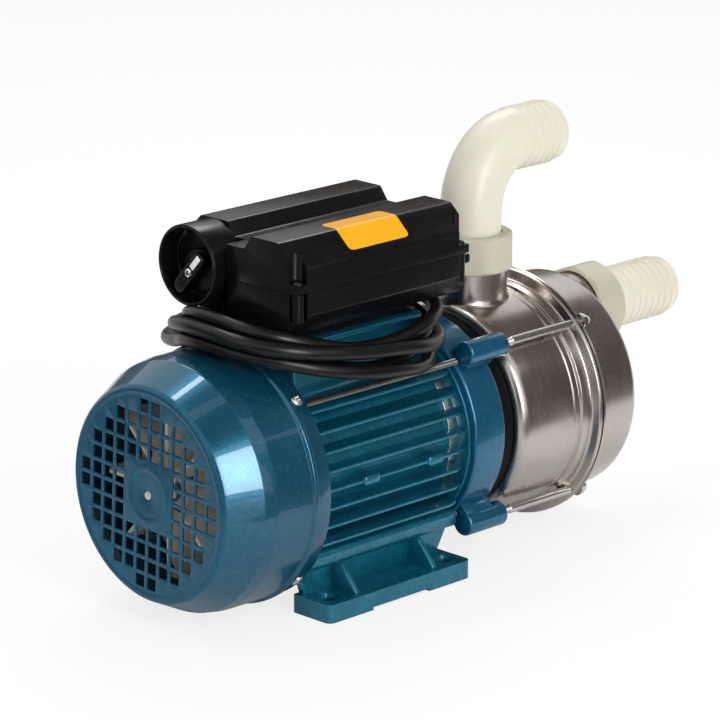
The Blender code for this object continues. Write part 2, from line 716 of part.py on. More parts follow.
def make_winding(name, start):
    inner = STATOR_BORE - 1.5 * MM - WINDING_DEPTH
    outer = inner + WINDING_DEPTH
    end = start + WINDING_LENGTH
    soft = WINDING_DEPTH / 3
    profile = [(end, outer - soft), (end - soft, outer), (start, outer), (start, inner), (end - soft, inner),
               (end, inner + soft)]
    settle(turned(name, profile, COPPER))


# Rotor: shaft, core, cooling fan and bearings
def make_shaft():
    fan_end = FAN_CLEARANCE + COVER_SHEET + 6.0 * MM
    shoulder = FRONT_BEARING_X - 2 * SEAT_GAP
    profile = [(SHAFT_END, 0.0), (SHAFT_END, THREAD_RADIUS), (IMPELLER_END, THREAD_RADIUS),
               (IMPELLER_END, SHAFT_RADIUS), (FRONT_BEARING_END, SHAFT_RADIUS),
               (FRONT_BEARING_END, FRONT_BEARING[0] - SEAT_GAP), (shoulder, FRONT_BEARING[0] - SEAT_GAP),
               (shoulder, ROTOR_SHAFT_RADIUS), (HOUSING_X + SEAT_GAP, ROTOR_SHAFT_RADIUS),
               (HOUSING_X + SEAT_GAP, REAR_BEARING[0] - SEAT_GAP), (REAR_BEARING_X - 1.0 * MM,
               REAR_BEARING[0] - SEAT_GAP), (REAR_BEARING_X - 1.0 * MM, SHAFT_RADIUS),
               (fan_end, SHAFT_RADIUS), (fan_end - 1.0 * MM, SHAFT_RADIUS - 1.0 * MM),
               (fan_end - 1.0 * MM, 0.0)]
    settle(turned("motor_shaft", profile, STEEL, sides=COARSE))


def make_rotor_core():
    bore = ROTOR_SHAFT_RADIUS + SEAT_GAP
    end_ring = ROTOR_RADIUS - END_RING_INSET
    profile = [(CORE_END + END_RING_LENGTH, end_ring), (CORE_END, end_ring), (CORE_END, ROTOR_RADIUS),
               (CORE_X, ROTOR_RADIUS), (CORE_X, end_ring), (CORE_X - END_RING_LENGTH, end_ring),
               (CORE_X - END_RING_LENGTH, bore), (CORE_END + END_RING_LENGTH, bore)]
    settle(turned("rotor_core", profile, LAMINATION))


def make_bearing(name, start, size):
    bore, outer, width = size
    land = (outer - bore) * 0.28
    dish = 0.8 * MM
    end = start + width
    profile = [(end, outer), (start, outer), (start, outer - land), (start + dish, outer - land),
               (start + dish, bore + land), (start, bore + land), (start, bore), (end, bore)]
    settle(turned(name, profile, STEEL, sides=COARSE))


def make_cooling_fan():
    start = COVER_SHEET + FAN_CLEARANCE
    end = start + FAN_LENGTH
    bore = SHAFT_RADIUS + SEAT_GAP
    profile = [(end, FAN_HUB_RADIUS), (end, FAN_RADIUS), (end - FAN_PLATE, FAN_RADIUS),
               (end - FAN_PLATE, FAN_HUB_RADIUS), (start + 4.0 * MM, FAN_HUB_RADIUS - 1.0 * MM),
               (start + 4.0 * MM, bore), (end, bore)]
    fan = turned("cooling_fan", profile, NYLON)
    turn = 2 * math.pi / FAN_BLADES
    length = FAN_RADIUS - FAN_HUB_RADIUS + 1.0 * MM
    for k in range(FAN_BLADES):
        middle = ring_point(FAN_RADIUS - length / 2, turn * k, (start + end - FAN_PLATE / 2) / 2)
        blade = box("fan_blade", (FAN_LENGTH - FAN_PLATE / 2, length, FAN_BLADE_THICKNESS), middle,
                    cutter=True, rotation=(turn * k, 0.0, 0.0))
        join(fan, blade)
    settle(fan)


# End shields
def make_rear_shield():
    hub = REAR_BEARING[1] + SEAT_GAP
    back = REAR_BEARING_X - SEAT_GAP
    nose = back - 2.0 * MM
    front = REAR_SHIELD_END
    profile = [(front, SHIELD_RADIUS), (REAR_SHIELD_X, SHIELD_RADIUS), (REAR_SHIELD_X, hub + HUB_WALL + 2.0 * MM),
               (nose, hub + HUB_WALL), (nose, SHAFT_RADIUS + 2.0 * MM), (back, SHAFT_RADIUS + 2.0 * MM),
               (back, hub), (front, hub)]
    shield = turned("rear_shield", profile, ALUMINIUM)
    reach = COVER_RADIUS - COVER_SHEET - AIR_GAP - SEAT_GAP
    inner = SHIELD_RADIUS - 6.0 * MM
    for angle in DIAGONALS:
        lug = box("cover_lug", (REAR_SHIELD_THICKNESS - 2 * LUG_STEP, reach - inner, LUG_WIDTH),
                  ring_point((reach + inner) / 2, angle, (REAR_SHIELD_X + REAR_SHIELD_END) / 2), cutter=True,
                  rotation=(angle, 0.0, 0.0))
        join(shield, lug)
    for angle in DIAGONALS:
        hole = cylinder("bolt_hole", MOTOR_BOLT_RADIUS + SEAT_GAP, REAR_SHIELD_THICKNESS * 3,
                        ring_point(MOTOR_BOLT_CIRCLE, angle, REAR_SHIELD_X - REAR_SHIELD_THICKNESS), cutter=True)
        cut(shield, hole)
        screw_hole = cylinder("cover_screw_hole", COVER_SCREW_RADIUS + SEAT_GAP, 12.0 * MM,
                              ring_point(COVER_RADIUS - COVER_SCREW_LENGTH, angle, cover_screw_station()),
                              radial(angle), SMALL, cutter=True)
        cut(shield, screw_hole)
    settle(shield)


def front_ring_inner():
    return FRONT_RING_RADIUS - FRONT_RING_WALL


def make_front_shield():
    web_start = FRONT_BEARING_END + SEAT_GAP
    web_end = web_start + FRONT_WEB
    seat = FRONT_BEARING[1] + SEAT_GAP
    hub = seat + HUB_WALL
    start, end = FRONT_SHIELD_X, FRONT_SHIELD_END
    soft = FRONT_EDGE_ROUND
    inner = front_ring_inner()
    profile = [(end, FRONT_RING_RADIUS - soft), (end - soft, FRONT_RING_RADIUS), (start + soft, FRONT_RING_RADIUS),
               (start, FRONT_RING_RADIUS - soft), (start, inner), (web_start, inner), (web_start, hub),
               (FRONT_BEARING_X, hub), (FRONT_BEARING_X, seat), (web_start, seat),
               (web_start, SHAFT_RADIUS + 2.0 * MM), (web_end, SHAFT_RADIUS + 2.0 * MM), (web_end, inner),
               (end, inner)]
    shield = turned("front_shield", profile, PAINT, sides=FINE)
    boss_x = start + BOSS_START
    boss_end = end + BOSS_STANDOUT
    for angle in DIAGONALS:
        boss = cylinder("rod_boss", BOSS_RADIUS, boss_end - boss_x, ring_point(BOSS_CIRCLE, angle, boss_x), sides=12, cutter=True)
        root = front_ring_inner() + FRONT_RING_WALL / 2
        neck = box("boss_neck", (end - boss_x - 2 * soft, BOSS_CIRCLE - root, BOSS_RADIUS * 2),
                   ring_point((BOSS_CIRCLE + root) / 2, angle, (boss_x + end - 2 * soft) / 2), cutter=True,
                   rotation=(angle, 0.0, 0.0))
        join(shield, neck, boss)
    for angle in DIAGONALS:
        rod_hole = cylinder("rod_hole", TIE_ROD_NECK_RADIUS + SEAT_GAP, TIE_ROD_DEPTH * 2,
                            ring_point(BOSS_CIRCLE, angle, boss_end - TIE_ROD_DEPTH), cutter=True)
        bolt_hole = cylinder("bolt_hole", MOTOR_BOLT_RADIUS + SEAT_GAP, BOLT_DEPTH + 2 * SEAT_GAP,
                             ring_point(MOTOR_BOLT_CIRCLE, angle, start - SEAT_GAP), cutter=True)
        cut(shield, rod_hole, bolt_hole)
    settle(shield)


def make_motor_bolts():
    seat = REAR_SHIELD_X - SEAT_GAP
    tip = FRONT_SHIELD_X + BOLT_DEPTH
    profile = [(tip, 0.0), (tip, MOTOR_BOLT_RADIUS), (seat, MOTOR_BOLT_RADIUS), (seat, BOLT_HEAD_RADIUS),
               (seat - BOLT_HEAD_HEIGHT, BOLT_HEAD_RADIUS), (seat - BOLT_HEAD_HEIGHT, 0.0)]
    for number, angle in enumerate(DIAGONALS, 1):
        bolt = turned(f"motor_bolt_{number}", profile, STEEL, sides=SMALL, base=ring_point(MOTOR_BOLT_CIRCLE, angle))
        settle(bolt)


# Fan cover: pressed cup with a grille of square holes
def fan_cover_profile():
    bead_end = FAN_COVER_LENGTH - COVER_BAND
    bead_start = bead_end - COVER_BEAD_WIDTH
    return [(FAN_COVER_LENGTH, COVER_RADIUS), (bead_end, COVER_RADIUS),
            (bead_end - 0.8 * MM, COVER_RADIUS + COVER_BEAD_HEIGHT),
            (bead_start, COVER_RADIUS + COVER_BEAD_HEIGHT), (bead_start - 1.4 * MM, COVER_RADIUS),
            (COVER_CONE_LENGTH + 3.0 * MM, COVER_RADIUS - 0.4 * MM),
            (COVER_CONE_LENGTH, COVER_RADIUS - 1.6 * MM), (COVER_FACE_ROUND, COVER_FACE_RADIUS),
            (0.0, COVER_FACE_RADIUS - COVER_FACE_ROUND), (0.0, HUB_HOLE_RADIUS)]


def grille_cutter():
    middle = (GRILLE_ROWS - 1) / 2
    blank = GRILLE_BLANK_ROWS / 2

    def build(work):
        for row in range(GRILLE_ROWS):
            for column in range(GRILLE_ROWS):
                y, z = column - middle, row - middle
                if math.hypot(y, z) > GRILLE_REACH or max(abs(y), abs(z)) < blank:
                    continue
                shift = Matrix.Translation((0.0, y * GRILLE_PITCH, z * GRILLE_PITCH))
                made = bmesh.ops.create_cube(work, size=GRILLE_HOLE)
                bmesh.ops.transform(work, matrix=shift, verts=made["verts"])

    cutter = add_object("grille_holes", mesh_from(build, "grille_holes"), cutter=True)
    return place(cutter, (0.0, 0.0, 0.0), (GRILLE_TURN, 0.0, 0.0))


def cover_screw_station():
    return REAR_SHIELD_X + COVER_SCREW_INSET


def make_fan_cover():
    cover = turned("fan_cover", fan_cover_profile(), PAINT, sides=FINE, closed=False)
    thicken(cover, COVER_SHEET)
    settle(cover)
    cut(cover, grille_cutter())
    for angle in DIAGONALS:
        hole = cylinder("cover_screw_hole", COVER_SCREW_RADIUS + SEAT_GAP, 12.0 * MM,
                        ring_point(COVER_RADIUS - 6.0 * MM, angle, cover_screw_station()),
                        radial(angle), 8, cutter=True)
        cut(cover, hole)
    settle(cover)


def radial(angle):
    # turns a piece drawn along z so that it points outwards from the shaft
    return (angle - math.pi / 2, 0.0, 0.0)


def make_fan_cover_screws():
    seat = COVER_RADIUS + SEAT_GAP
    profile = [(COVER_SCREW_HEAD_HEIGHT, 0.0), (COVER_SCREW_HEAD_HEIGHT, COVER_SCREW_HEAD * 0.6),
               (COVER_SCREW_HEAD_HEIGHT * 0.5, COVER_SCREW_HEAD), (0.0, COVER_SCREW_HEAD),
               (0.0, COVER_SCREW_RADIUS), (-COVER_SCREW_LENGTH, COVER_SCREW_RADIUS), (-COVER_SCREW_LENGTH, 0.0)]
    for number, angle in enumerate(DIAGONALS, 1):
        screw = turned(f"fan_cover_screw_{number}", profile, STEEL, sides=8,
                       base=ring_point(seat, angle, cover_screw_station()), rotation=radial(angle))
        settle(screw)


# Pump: backing disc, casing, gasket, front cover and the rods that clamp them
def make_backing_disc():
    chamfer = 1.2 * MM
    profile = [(BACKING_END, BACKING_RADIUS - chamfer), (BACKING_END - chamfer, BACKING_RADIUS),
               (BACKING_X + chamfer, BACKING_RADIUS), (BACKING_X, BACKING_RADIUS - chamfer),
               (BACKING_X, BACKING_BORE), (BACKING_END, BACKING_BORE)]
    settle(turned("backing_disc", profile, RUBBER, sides=FINE))


def casing_profile():
    back = CASING_X
    drop = CASING_NECK_RADIUS - CASING_BACK_RADIUS
    shoulder = [(back + SHOULDER_LENGTH * (1 - math.cos(a)), CASING_BACK_RADIUS + drop * math.sin(a))
                for a in (math.radians(d) for d in (90, 60, 30, 0))]
    body_x = back + SHOULDER_LENGTH + NECK_LENGTH
    lip_x = CASING_END - SHEET
    step_x = CASING_END - LIP_STEP_LENGTH
    return [(lip_x, LIP_RADIUS), (lip_x, LIP_STEP_RADIUS),
            (step_x, LIP_STEP_RADIUS), (step_x - 1.6 * MM, CASING_RADIUS), (body_x, CASING_RADIUS),
            *shoulder, (back, SEAL_BORE)]


def make_pump_casing():
    casing = turned("pump_casing", casing_profile(), STAINLESS, sides=FINE, closed=False)
    thicken(casing, SHEET)
    settle(casing)
    root = math.sqrt(CASING_RADIUS ** 2 - NIPPLE_RADIUS ** 2) - SHEET / 2
    nipple = cylinder("top_nipple", NIPPLE_RADIUS, TOP_NIPPLE_HEIGHT - root, (TOP_PORT_STATION, 0, root),
                      (0, 0, 0), MEDIUM, cutter=True)
    bore = cylinder("top_bore", NIPPLE_BORE, TOP_NIPPLE_HEIGHT, (TOP_PORT_STATION, 0, CASING_RADIUS / 2),
                    (0, 0, 0), MEDIUM, cutter=True)
    join(casing, nipple)
    cut(casing, bore, *rod_ways(CASING_END - 3 * SHEET))
    settle(casing)


def rod_ways(start):
    return [cylinder("rod_way", TIE_ROD_RADIUS + SEAT_GAP, 6 * SHEET, ring_point(BOSS_CIRCLE, angle, start),
                     cutter=True) for angle in DIAGONALS]


def make_gasket():
    outer = BOSS_CIRCLE - TIE_ROD_RADIUS - AIR_GAP
    inner = LIP_STEP_RADIUS - SHEET - 1.0 * MM
    profile = [(GASKET_END, outer), (GASKET_X, outer), (GASKET_X, inner), (GASKET_END, inner)]
    settle(turned("casing_gasket", profile, RUBBER, sides=FINE))


def front_cover_profile():
    end = FRONT_COVER_END
    corner = (end - FRONT_COVER_ROUND, FRONT_COVER_RADIUS - FRONT_COVER_ROUND)
    rounded = arc(corner, FRONT_COVER_ROUND, math.pi / 2, 0.0, 3)
    lip_x = FRONT_COVER_X + SHEET
    return [(end, 0.0), *rounded, (lip_x, FRONT_COVER_RADIUS), (lip_x, LIP_RADIUS)]


def make_front_cover():
    cover = turned("front_cover", front_cover_profile(), STAINLESS, sides=FINE, closed=False)
    thicken(cover, SHEET)
    settle(cover)
    root = FRONT_COVER_END - SHEET * 1.5
    nipple = cylinder("front_nipple", NIPPLE_RADIUS, FRONT_NIPPLE_END - root, (root, 0, FRONT_PORT_HEIGHT),
                      sides=MEDIUM, cutter=True)
    bore = cylinder("front_bore", NIPPLE_BORE, FRONT_NIPPLE_LENGTH * 3,
                    (FRONT_COVER_END - FRONT_NIPPLE_LENGTH, 0, FRONT_PORT_HEIGHT), sides=MEDIUM, cutter=True)
    join(cover, nipple)
    cut(cover, bore, *rod_ways(FRONT_COVER_X - 3 * SHEET))
    settle(cover)


def make_tie_rods():
    boss_end = FRONT_SHIELD_END + BOSS_STANDOUT
    start = boss_end - TIE_ROD_DEPTH + SEAT_GAP
    neck_end = boss_end + TIE_ROD_NECK
    shoulder_end = FRONT_COVER_X + SHEET + SEAT_GAP
    tip = shoulder_end + TIE_ROD_STANDOUT
    profile = [(tip, 0.0), (tip, TIE_ROD_NECK_RADIUS), (shoulder_end, TIE_ROD_NECK_RADIUS),
               (shoulder_end, TIE_ROD_RADIUS), (neck_end, TIE_ROD_RADIUS), (neck_end, TIE_ROD_NECK_RADIUS),
               (start, TIE_ROD_NECK_RADIUS), (start, 0.0)]
    for number, angle in enumerate(DIAGONALS, 1):
        rod = turned(f"tie_rod_{number}", profile, STAINLESS, sides=SMALL, base=ring_point(BOSS_CIRCLE, angle))
        settle(rod)


def make_cap_nuts():
    seat = FRONT_COVER_X + SHEET + 2 * SEAT_GAP
    bore = TIE_ROD_NECK_RADIUS + SEAT_GAP
    depth = TIE_ROD_STANDOUT + SEAT_GAP
    dome = CAP_NUT_LENGTH * 0.45
    profile = [(CAP_NUT_LENGTH, 0.0), (CAP_NUT_LENGTH - 1.0 * MM, CAP_NUT_RADIUS * 0.55),
               (dome, CAP_NUT_RADIUS * 0.86), (dome, CAP_NUT_RADIUS),
               (0.0, CAP_NUT_RADIUS), (0.0, bore), (depth, bore), (depth, 0.0)]
    for number, angle in enumerate(DIAGONALS, 1):
        nut = turned(f"cap_nut_{number}", profile, STAINLESS, sides=6, base=ring_point(BOSS_CIRCLE, angle, seat))
        settle(nut, 20.0)


# Impeller, shaft seal and diffuser
def make_seal():
    seat_start = SEAL_SEAT_END - SEAL_SEAT_LENGTH
    outer = SEAL_BORE - SEAT_GAP
    seat = [(SEAL_SEAT_END, outer), (seat_start, outer), (seat_start, SEAL_SEAT_BORE),
            (SEAL_SEAT_END, SEAL_SEAT_BORE)]
    settle(turned("seal_seat", seat, CERAMIC, sides=COARSE))
    bore = SHAFT_RADIUS + SEAT_GAP
    end = SEAL_RING_X + SEAL_RING_LENGTH
    ring = [(end, SEAL_RING_RADIUS * 0.85), (SEAL_RING_X + 1.6 * MM, SEAL_RING_RADIUS),
            (SEAL_RING_X, SEAL_RING_RADIUS), (SEAL_RING_X, bore), (end, bore)]
    settle(turned("seal_ring", ring, RUBBER, sides=COARSE))


def blade_outline():
    # a blade swept back along a spiral from the hub to the rim
    steps = 6
    edge = []
    for k in range(steps + 1):
        share = k / steps
        radius = IMPELLER_HUB_RADIUS - 1.5 * MM + (IMPELLER_RADIUS - IMPELLER_HUB_RADIUS) * share
        edge.append((radius, IMPELLER_SWEEP * share))
    upper = [(r * math.cos(a), r * math.sin(a)) for r, a in edge]
    lower = [((r * math.cos(a - IMPELLER_BLADE_THICKNESS / r)), (r * math.sin(a - IMPELLER_BLADE_THICKNESS / r)))
             for r, a in reversed(edge)]
    return upper + lower


def make_impeller():
    bore = SHAFT_RADIUS + SEAT_GAP
    shroud = IMPELLER_X + IMPELLER_SHROUD
    profile = [(IMPELLER_END, IMPELLER_HUB_RADIUS * 0.85), (shroud + IMPELLER_BLADE_HEIGHT, IMPELLER_HUB_RADIUS),
               (shroud, IMPELLER_HUB_RADIUS + 2.0 * MM), (shroud, IMPELLER_RADIUS), (IMPELLER_X, IMPELLER_RADIUS),
               (IMPELLER_X, bore), (IMPELLER_END, bore)]
    impeller = turned("impeller", profile, STAINLESS)
    length = IMPELLER_BLADE_HEIGHT + IMPELLER_SHROUD / 2
    for k in range(IMPELLER_BLADES):
        turn = 2 * math.pi * k / IMPELLER_BLADES
        blade = extruded("impeller_blade", blade_outline(), length, (0, 0, 0), cutter=True)
        blade.matrix_basis = (Matrix.Translation((shroud - IMPELLER_SHROUD / 2, 0.0, 0.0))
                              @ Matrix.Rotation(turn, 4, "X") @ blade.matrix_basis)
        join(impeller, blade)
    settle(impeller)


def make_impeller_nut():
    bore = THREAD_RADIUS + SEAT_GAP
    profile = [(NUT_LENGTH, NUT_RADIUS * 0.9), (NUT_LENGTH - 1.0 * MM, NUT_RADIUS), (0.0, NUT_RADIUS), (0.0, bore),
               (NUT_LENGTH, bore)]
    nut = turned("impeller_nut", profile, STAINLESS, sides=6, base=(IMPELLER_NUT_X, 0.0, 0.0))
    cut(nut, cylinder("nut_bore", THREAD_RADIUS + SEAT_GAP, NUT_LENGTH * 3, (IMPELLER_NUT_X - NUT_LENGTH, 0, 0),
                      sides=COARSE, cutter=True))
    settle(nut, 20.0)


def make_diffuser():
    outer = LIP_STEP_RADIUS - SHEET - SEAT_GAP
    start = CASING_END - LIP_STEP_LENGTH + SHEET
    end = start + DIFFUSER_THICKNESS
    eye = DIFFUSER_EYE_RADIUS
    tube_start = end - DIFFUSER_REACH
    profile = [(end, outer), (start, outer), (start, eye + DIFFUSER_EYE_WALL + 3.0 * MM),
               (start - 3.0 * MM, eye + DIFFUSER_EYE_WALL), (tube_start, eye + DIFFUSER_EYE_WALL),
               (tube_start, eye), (end, eye)]
    settle(turned("diffuser", profile, NYLON, sides=FINE))


# Ports: union nuts, barbed tail and barbed elbow
def union_nut(name, base, rotation):
    # octagonal nut whose collar traps the flange of the hose tail
    collar = UNION_NUT_LENGTH - UNION_COLLAR
    throat = TAIL_RADIUS + UNION_THREAD_GAP
    bore = NIPPLE_RADIUS + UNION_THREAD_GAP
    profile = [(UNION_NUT_LENGTH, UNION_NUT_RADIUS - UNION_NUT_CHAMFER),
               (UNION_NUT_LENGTH - UNION_NUT_CHAMFER, UNION_NUT_RADIUS), (0.0, UNION_NUT_RADIUS), (0.0, 0.0)]
    profile.insert(0, (UNION_NUT_LENGTH, 0.0))
    nut = turned(name, profile, NYLON, sides=UNION_NUT_SIDES, base=base, rotation=rotation)
    hollow = turned(name + "_hollow", [(UNION_NUT_LENGTH * 2, 0.0), (UNION_NUT_LENGTH * 2, throat),
                    (collar, throat), (collar, bore), (-UNION_NUT_LENGTH, bore), (-UNION_NUT_LENGTH, 0.0)],
                    sides=MEDIUM, base=base, rotation=rotation, cutter=True)
    cut(nut, hollow)
    return settle(nut, 20.0)


def barb_profile(start, count):
    # saw-tooth rings, each steep on the side towards the nut
    ridge = TAIL_RADIUS + BARB_HEIGHT / 2
    root = TAIL_RADIUS - BARB_HEIGHT / 2
    teeth = []
    for k in range(count):
        teeth.append((start + k * BARB_PITCH, root))
        teeth.append((start + k * BARB_PITCH + 0.6 * MM, ridge))
    teeth.append((start + (count + 0.5) * BARB_PITCH, root - 0.4 * MM))
    return teeth[::-1]


def make_front_barb():
    start = FRONT_TAIL_X
    teeth_x = start + TAIL_FLANGE + FRONT_TAIL_NECK
    profile = barb_profile(teeth_x, FRONT_BARBS)
    end = profile[0][0]
    profile += [(start + TAIL_FLANGE, TAIL_RADIUS - BARB_HEIGHT / 2), (start + TAIL_FLANGE, TAIL_FLANGE_RADIUS),
                (start, TAIL_FLANGE_RADIUS), (start, TAIL_BORE), (end, TAIL_BORE)]
    settle(turned("front_barb", profile, NYLON, base=(0, 0, FRONT_PORT_HEIGHT)))


def elbow_route(first, last):
    # centre line in the elbow's own frame: up from the flange, round the bend, then out
    base = TOP_NIPPLE_HEIGHT
    center = (ELBOW_BEND, ELBOW_HEIGHT - ELBOW_BEND)
    bend = []
    for k in range(ELBOW_STEPS + 1):
        angle = math.pi / 2 * k / ELBOW_STEPS
        bend.append((center[0] - ELBOW_BEND * math.cos(angle), 0.0, center[1] + ELBOW_BEND * math.sin(angle)))
    return [(0.0, 0.0, base + first), *bend, (last, 0.0, ELBOW_HEIGHT)]


def make_elbow():
    base = TOP_NIPPLE_HEIGHT + SEAT_GAP
    flange = cylinder("elbow_flange", TAIL_FLANGE_RADIUS, TAIL_FLANGE, (0, 0, base), (0, 0, 0), MEDIUM, cutter=True)
    teeth_x = ELBOW_REACH - (ELBOW_BARBS + 0.5) * BARB_PITCH
    profile = barb_profile(teeth_x, ELBOW_BARBS)
    collar_x = teeth_x - BARB_PITCH / 2
    profile = [(profile[0][0], 0.0), *profile, (collar_x, TAIL_RADIUS + BARB_HEIGHT), (collar_x, 0.0)]
    tail = turned("elbow_tail", profile, base=(0, 0, ELBOW_HEIGHT), sides=COARSE, cutter=True)
    elbow = tube("elbow_barb", elbow_route(2.0 * MM, collar_x + BARB_HEIGHT), TAIL_RADIUS, NYLON, resolution=8)
    bore = tube("elbow_bore", elbow_route(-TAIL_FLANGE, ELBOW_REACH * 1.2), TAIL_BORE, resolution=6, cutter=True)
    join(elbow, flange, tail)
    cut(elbow, bore)
    settle(elbow, 35.0)
    elbow.location = (TOP_PORT_STATION, 0.0, 0.0)


def make_union_nuts():
    top = TOP_NIPPLE_HEIGHT + 2 * SEAT_GAP + TAIL_FLANGE - (UNION_NUT_LENGTH - UNION_COLLAR)
    union_nut("top_union_nut", (TOP_PORT_STATION, 0.0, top), (0.0, 0.0, math.pi / UNION_NUT_SIDES))
    front = FRONT_TAIL_X + TAIL_FLANGE + SEAT_GAP - (UNION_NUT_LENGTH - UNION_COLLAR)
    union_nut("front_union_nut", (front, 0.0, FRONT_PORT_HEIGHT), ALONG_SHAFT)


# Terminal box
def mirror_outline(half):
    return half + [(-y, z) for y, z in reversed(half)]


def base_outline(inset):
    side = BOX_HALF_WIDTH - inset
    floor = BOX_BOTTOM + inset
    top = BOX_SEAM - SEAT_GAP / 2 + 2 * inset
    return mirror_outline([(side, top), (side, BOX_CORNER_HEIGHT + inset / 2),
                           (BOX_BOTTOM_HALF_WIDTH - inset / 2, floor)])


def lid_outline(inset):
    side = BOX_HALF_WIDTH - inset
    roof = BOX_TOP - inset
    bottom = BOX_SEAM + SEAT_GAP / 2 - 2 * inset
    return mirror_outline([(side, bottom), (side, BOX_EAVES - inset / 2), (HUMP_OUTER - inset / 2, roof),
                           (HUMP_INNER + inset / 2, roof), (VALLEY_HALF_WIDTH + inset / 2, roof - VALLEY_DEPTH)])


def box_posts():
    near, far = -BOX_HALF_WIDTH + POST_INSET, BOX_HALF_WIDTH - POST_INSET
    return [(BOX_START + POST_INSET, near), (BOX_END - POST_INSET, near), (BOX_END - POST_INSET, far),
            (BOX_FACE + POST_INSET, far)]


def box_shell(name, outline):
    shell = extruded(name, outline(0.0), BOX_LENGTH, (BOX_START, 0, 0), BLACK_PLASTIC)
    hollow = extruded(name + "_hollow", outline(BOX_WALL), BOX_LENGTH - 2 * BOX_WALL,
                      (BOX_START + BOX_WALL, 0, 0), cutter=True)
    low = BOX_BOTTOM - BOX_WALL
    high = BOX_TOP + BOX_WALL
    far = BOX_HALF_WIDTH + BOX_WALL
    corner = span_box(name + "_corner", (BOX_START - BOX_WALL, BOX_STEP_Y, low), (BOX_FACE, far, high), cutter=True)
    corner_wall = span_box(name + "_corner_wall", (BOX_START - BOX_WALL, BOX_STEP_Y - BOX_WALL, low),
                           (BOX_FACE + BOX_WALL, far, high), cutter=True)
    cut(hollow, corner_wall)
    for x, y in box_posts():
        post = cylinder("screw_post", POST_RADIUS, high - low, (x, y, low), (0, 0, 0), 16, cutter=True)
        cut(hollow, post)
    return cut(shell, corner, hollow)


def lid_screw_seat():
    return BOX_SEAM + LID_FLOOR


def make_box_base():
    base = box_shell("box_base", base_outline)
    foot_low = (PAD_X + BOX_FOOT_INSET, -PAD_HALF_WIDTH, PAD_TOP + SEAT_GAP)
    foot_high = (PAD_X + PAD_LENGTH - BOX_FOOT_INSET, PAD_HALF_WIDTH, BOX_BOTTOM + BOX_WALL)
    join(base, span_box("box_foot", foot_low, foot_high, cutter=True))
    tab_middle = BOX_SEAM - END_TAB[2]
    tab = box("end_tab", (END_TAB[0] * 2, END_TAB[1], END_TAB[2]), (BOX_END, -BOX_HALF_WIDTH + END_TAB[1], tab_middle),
              cutter=True)
    join(base, tab)
    for x, y in box_posts():
        hole = cylinder("screw_hole", LID_SCREW_RADIUS + SEAT_GAP, LID_SCREW_LENGTH * 2,
                        (x, y, lid_screw_seat() - LID_SCREW_LENGTH - 2 * SEAT_GAP), (0, 0, 0), 10, cutter=True)
        cut(base, hole)
    cut(base, gland_way())
    settle(base)


def gland_way():
    return cylinder("gland_way", gland_neck() + SEAT_GAP, BOX_WALL * 4, (BOX_END - BOX_WALL * 2, GLAND_Y,
                    GLAND_HEIGHT), sides=COARSE, cutter=True)


def make_box_lid():
    lid = box_shell("box_lid", lid_outline)
    for x, y in box_posts():
        recess = cylinder("screw_recess", RECESS_RADIUS, BOX_TOP, (x, y, lid_screw_seat()), (0, 0, 0), 16,
                          cutter=True)
        hole = cylinder("screw_hole", LID_SCREW_RADIUS + SEAT_GAP, LID_FLOOR * 4, (x, y, BOX_SEAM - LID_FLOOR),
                        (0, 0, 0), 10, cutter=True)
        cut(lid, recess, hole)
    settle(lid)


def make_lid_screws():
    seat = lid_screw_seat() + SEAT_GAP
    head = LID_SCREW_HEAD_HEIGHT
    profile = [(head, 0.0), (head, LID_SCREW_HEAD * 0.7), (head * 0.5, LID_SCREW_HEAD), (0.0, LID_SCREW_HEAD),
               (0.0, LID_SCREW_RADIUS), (-LID_SCREW_LENGTH, LID_SCREW_RADIUS), (-LID_SCREW_LENGTH, 0.0)]
    for number, (x, y) in enumerate(box_posts(), 1):
        screw = turned(f"lid_screw_{number}", profile, STEEL, sides=10, base=(x, y, seat), rotation=(0, 0, 0))
        settle(screw)


def make_capacitor():
    rest = BOX_BOTTOM + BOX_WALL + SEAT_GAP + CAPACITOR_RADIUS
    start = (BOX_START + BOX_END - CAPACITOR_LENGTH) / 2
    can = cylinder("run_capacitor", CAPACITOR_RADIUS, CAPACITOR_LENGTH, (start, CAPACITOR_Y, rest), sides=COARSE,
                   material=CAPACITOR_SHELL)
    rim = can.modifiers.new("rim", "BEVEL")
    rim.width = 1.5 * MM
    rim.segments = 2
    settle(can)


def make_terminal_block():
    floor = BOX_BOTTOM + BOX_WALL + SEAT_GAP
    x = (BOX_START + BOX_END) / 2
    block = box("terminal_block", TERMINAL_SIZE, (x, TERMINAL_Y, floor + TERMINAL_SIZE[2] / 2), NYLON)
    for k in (-1, 0, 1):
        slot = box("wire_slot", (TERMINAL_SIZE[0] / 5, TERMINAL_SIZE[1] / 2, TERMINAL_SIZE[2] / 2),
                   (x + k * TERMINAL_SIZE[0] / 3.4, TERMINAL_Y - TERMINAL_SIZE[1] / 2, floor + TERMINAL_SIZE[2] * 0.75),
                   cutter=True)
        cut(block, slot)
    settle(block)


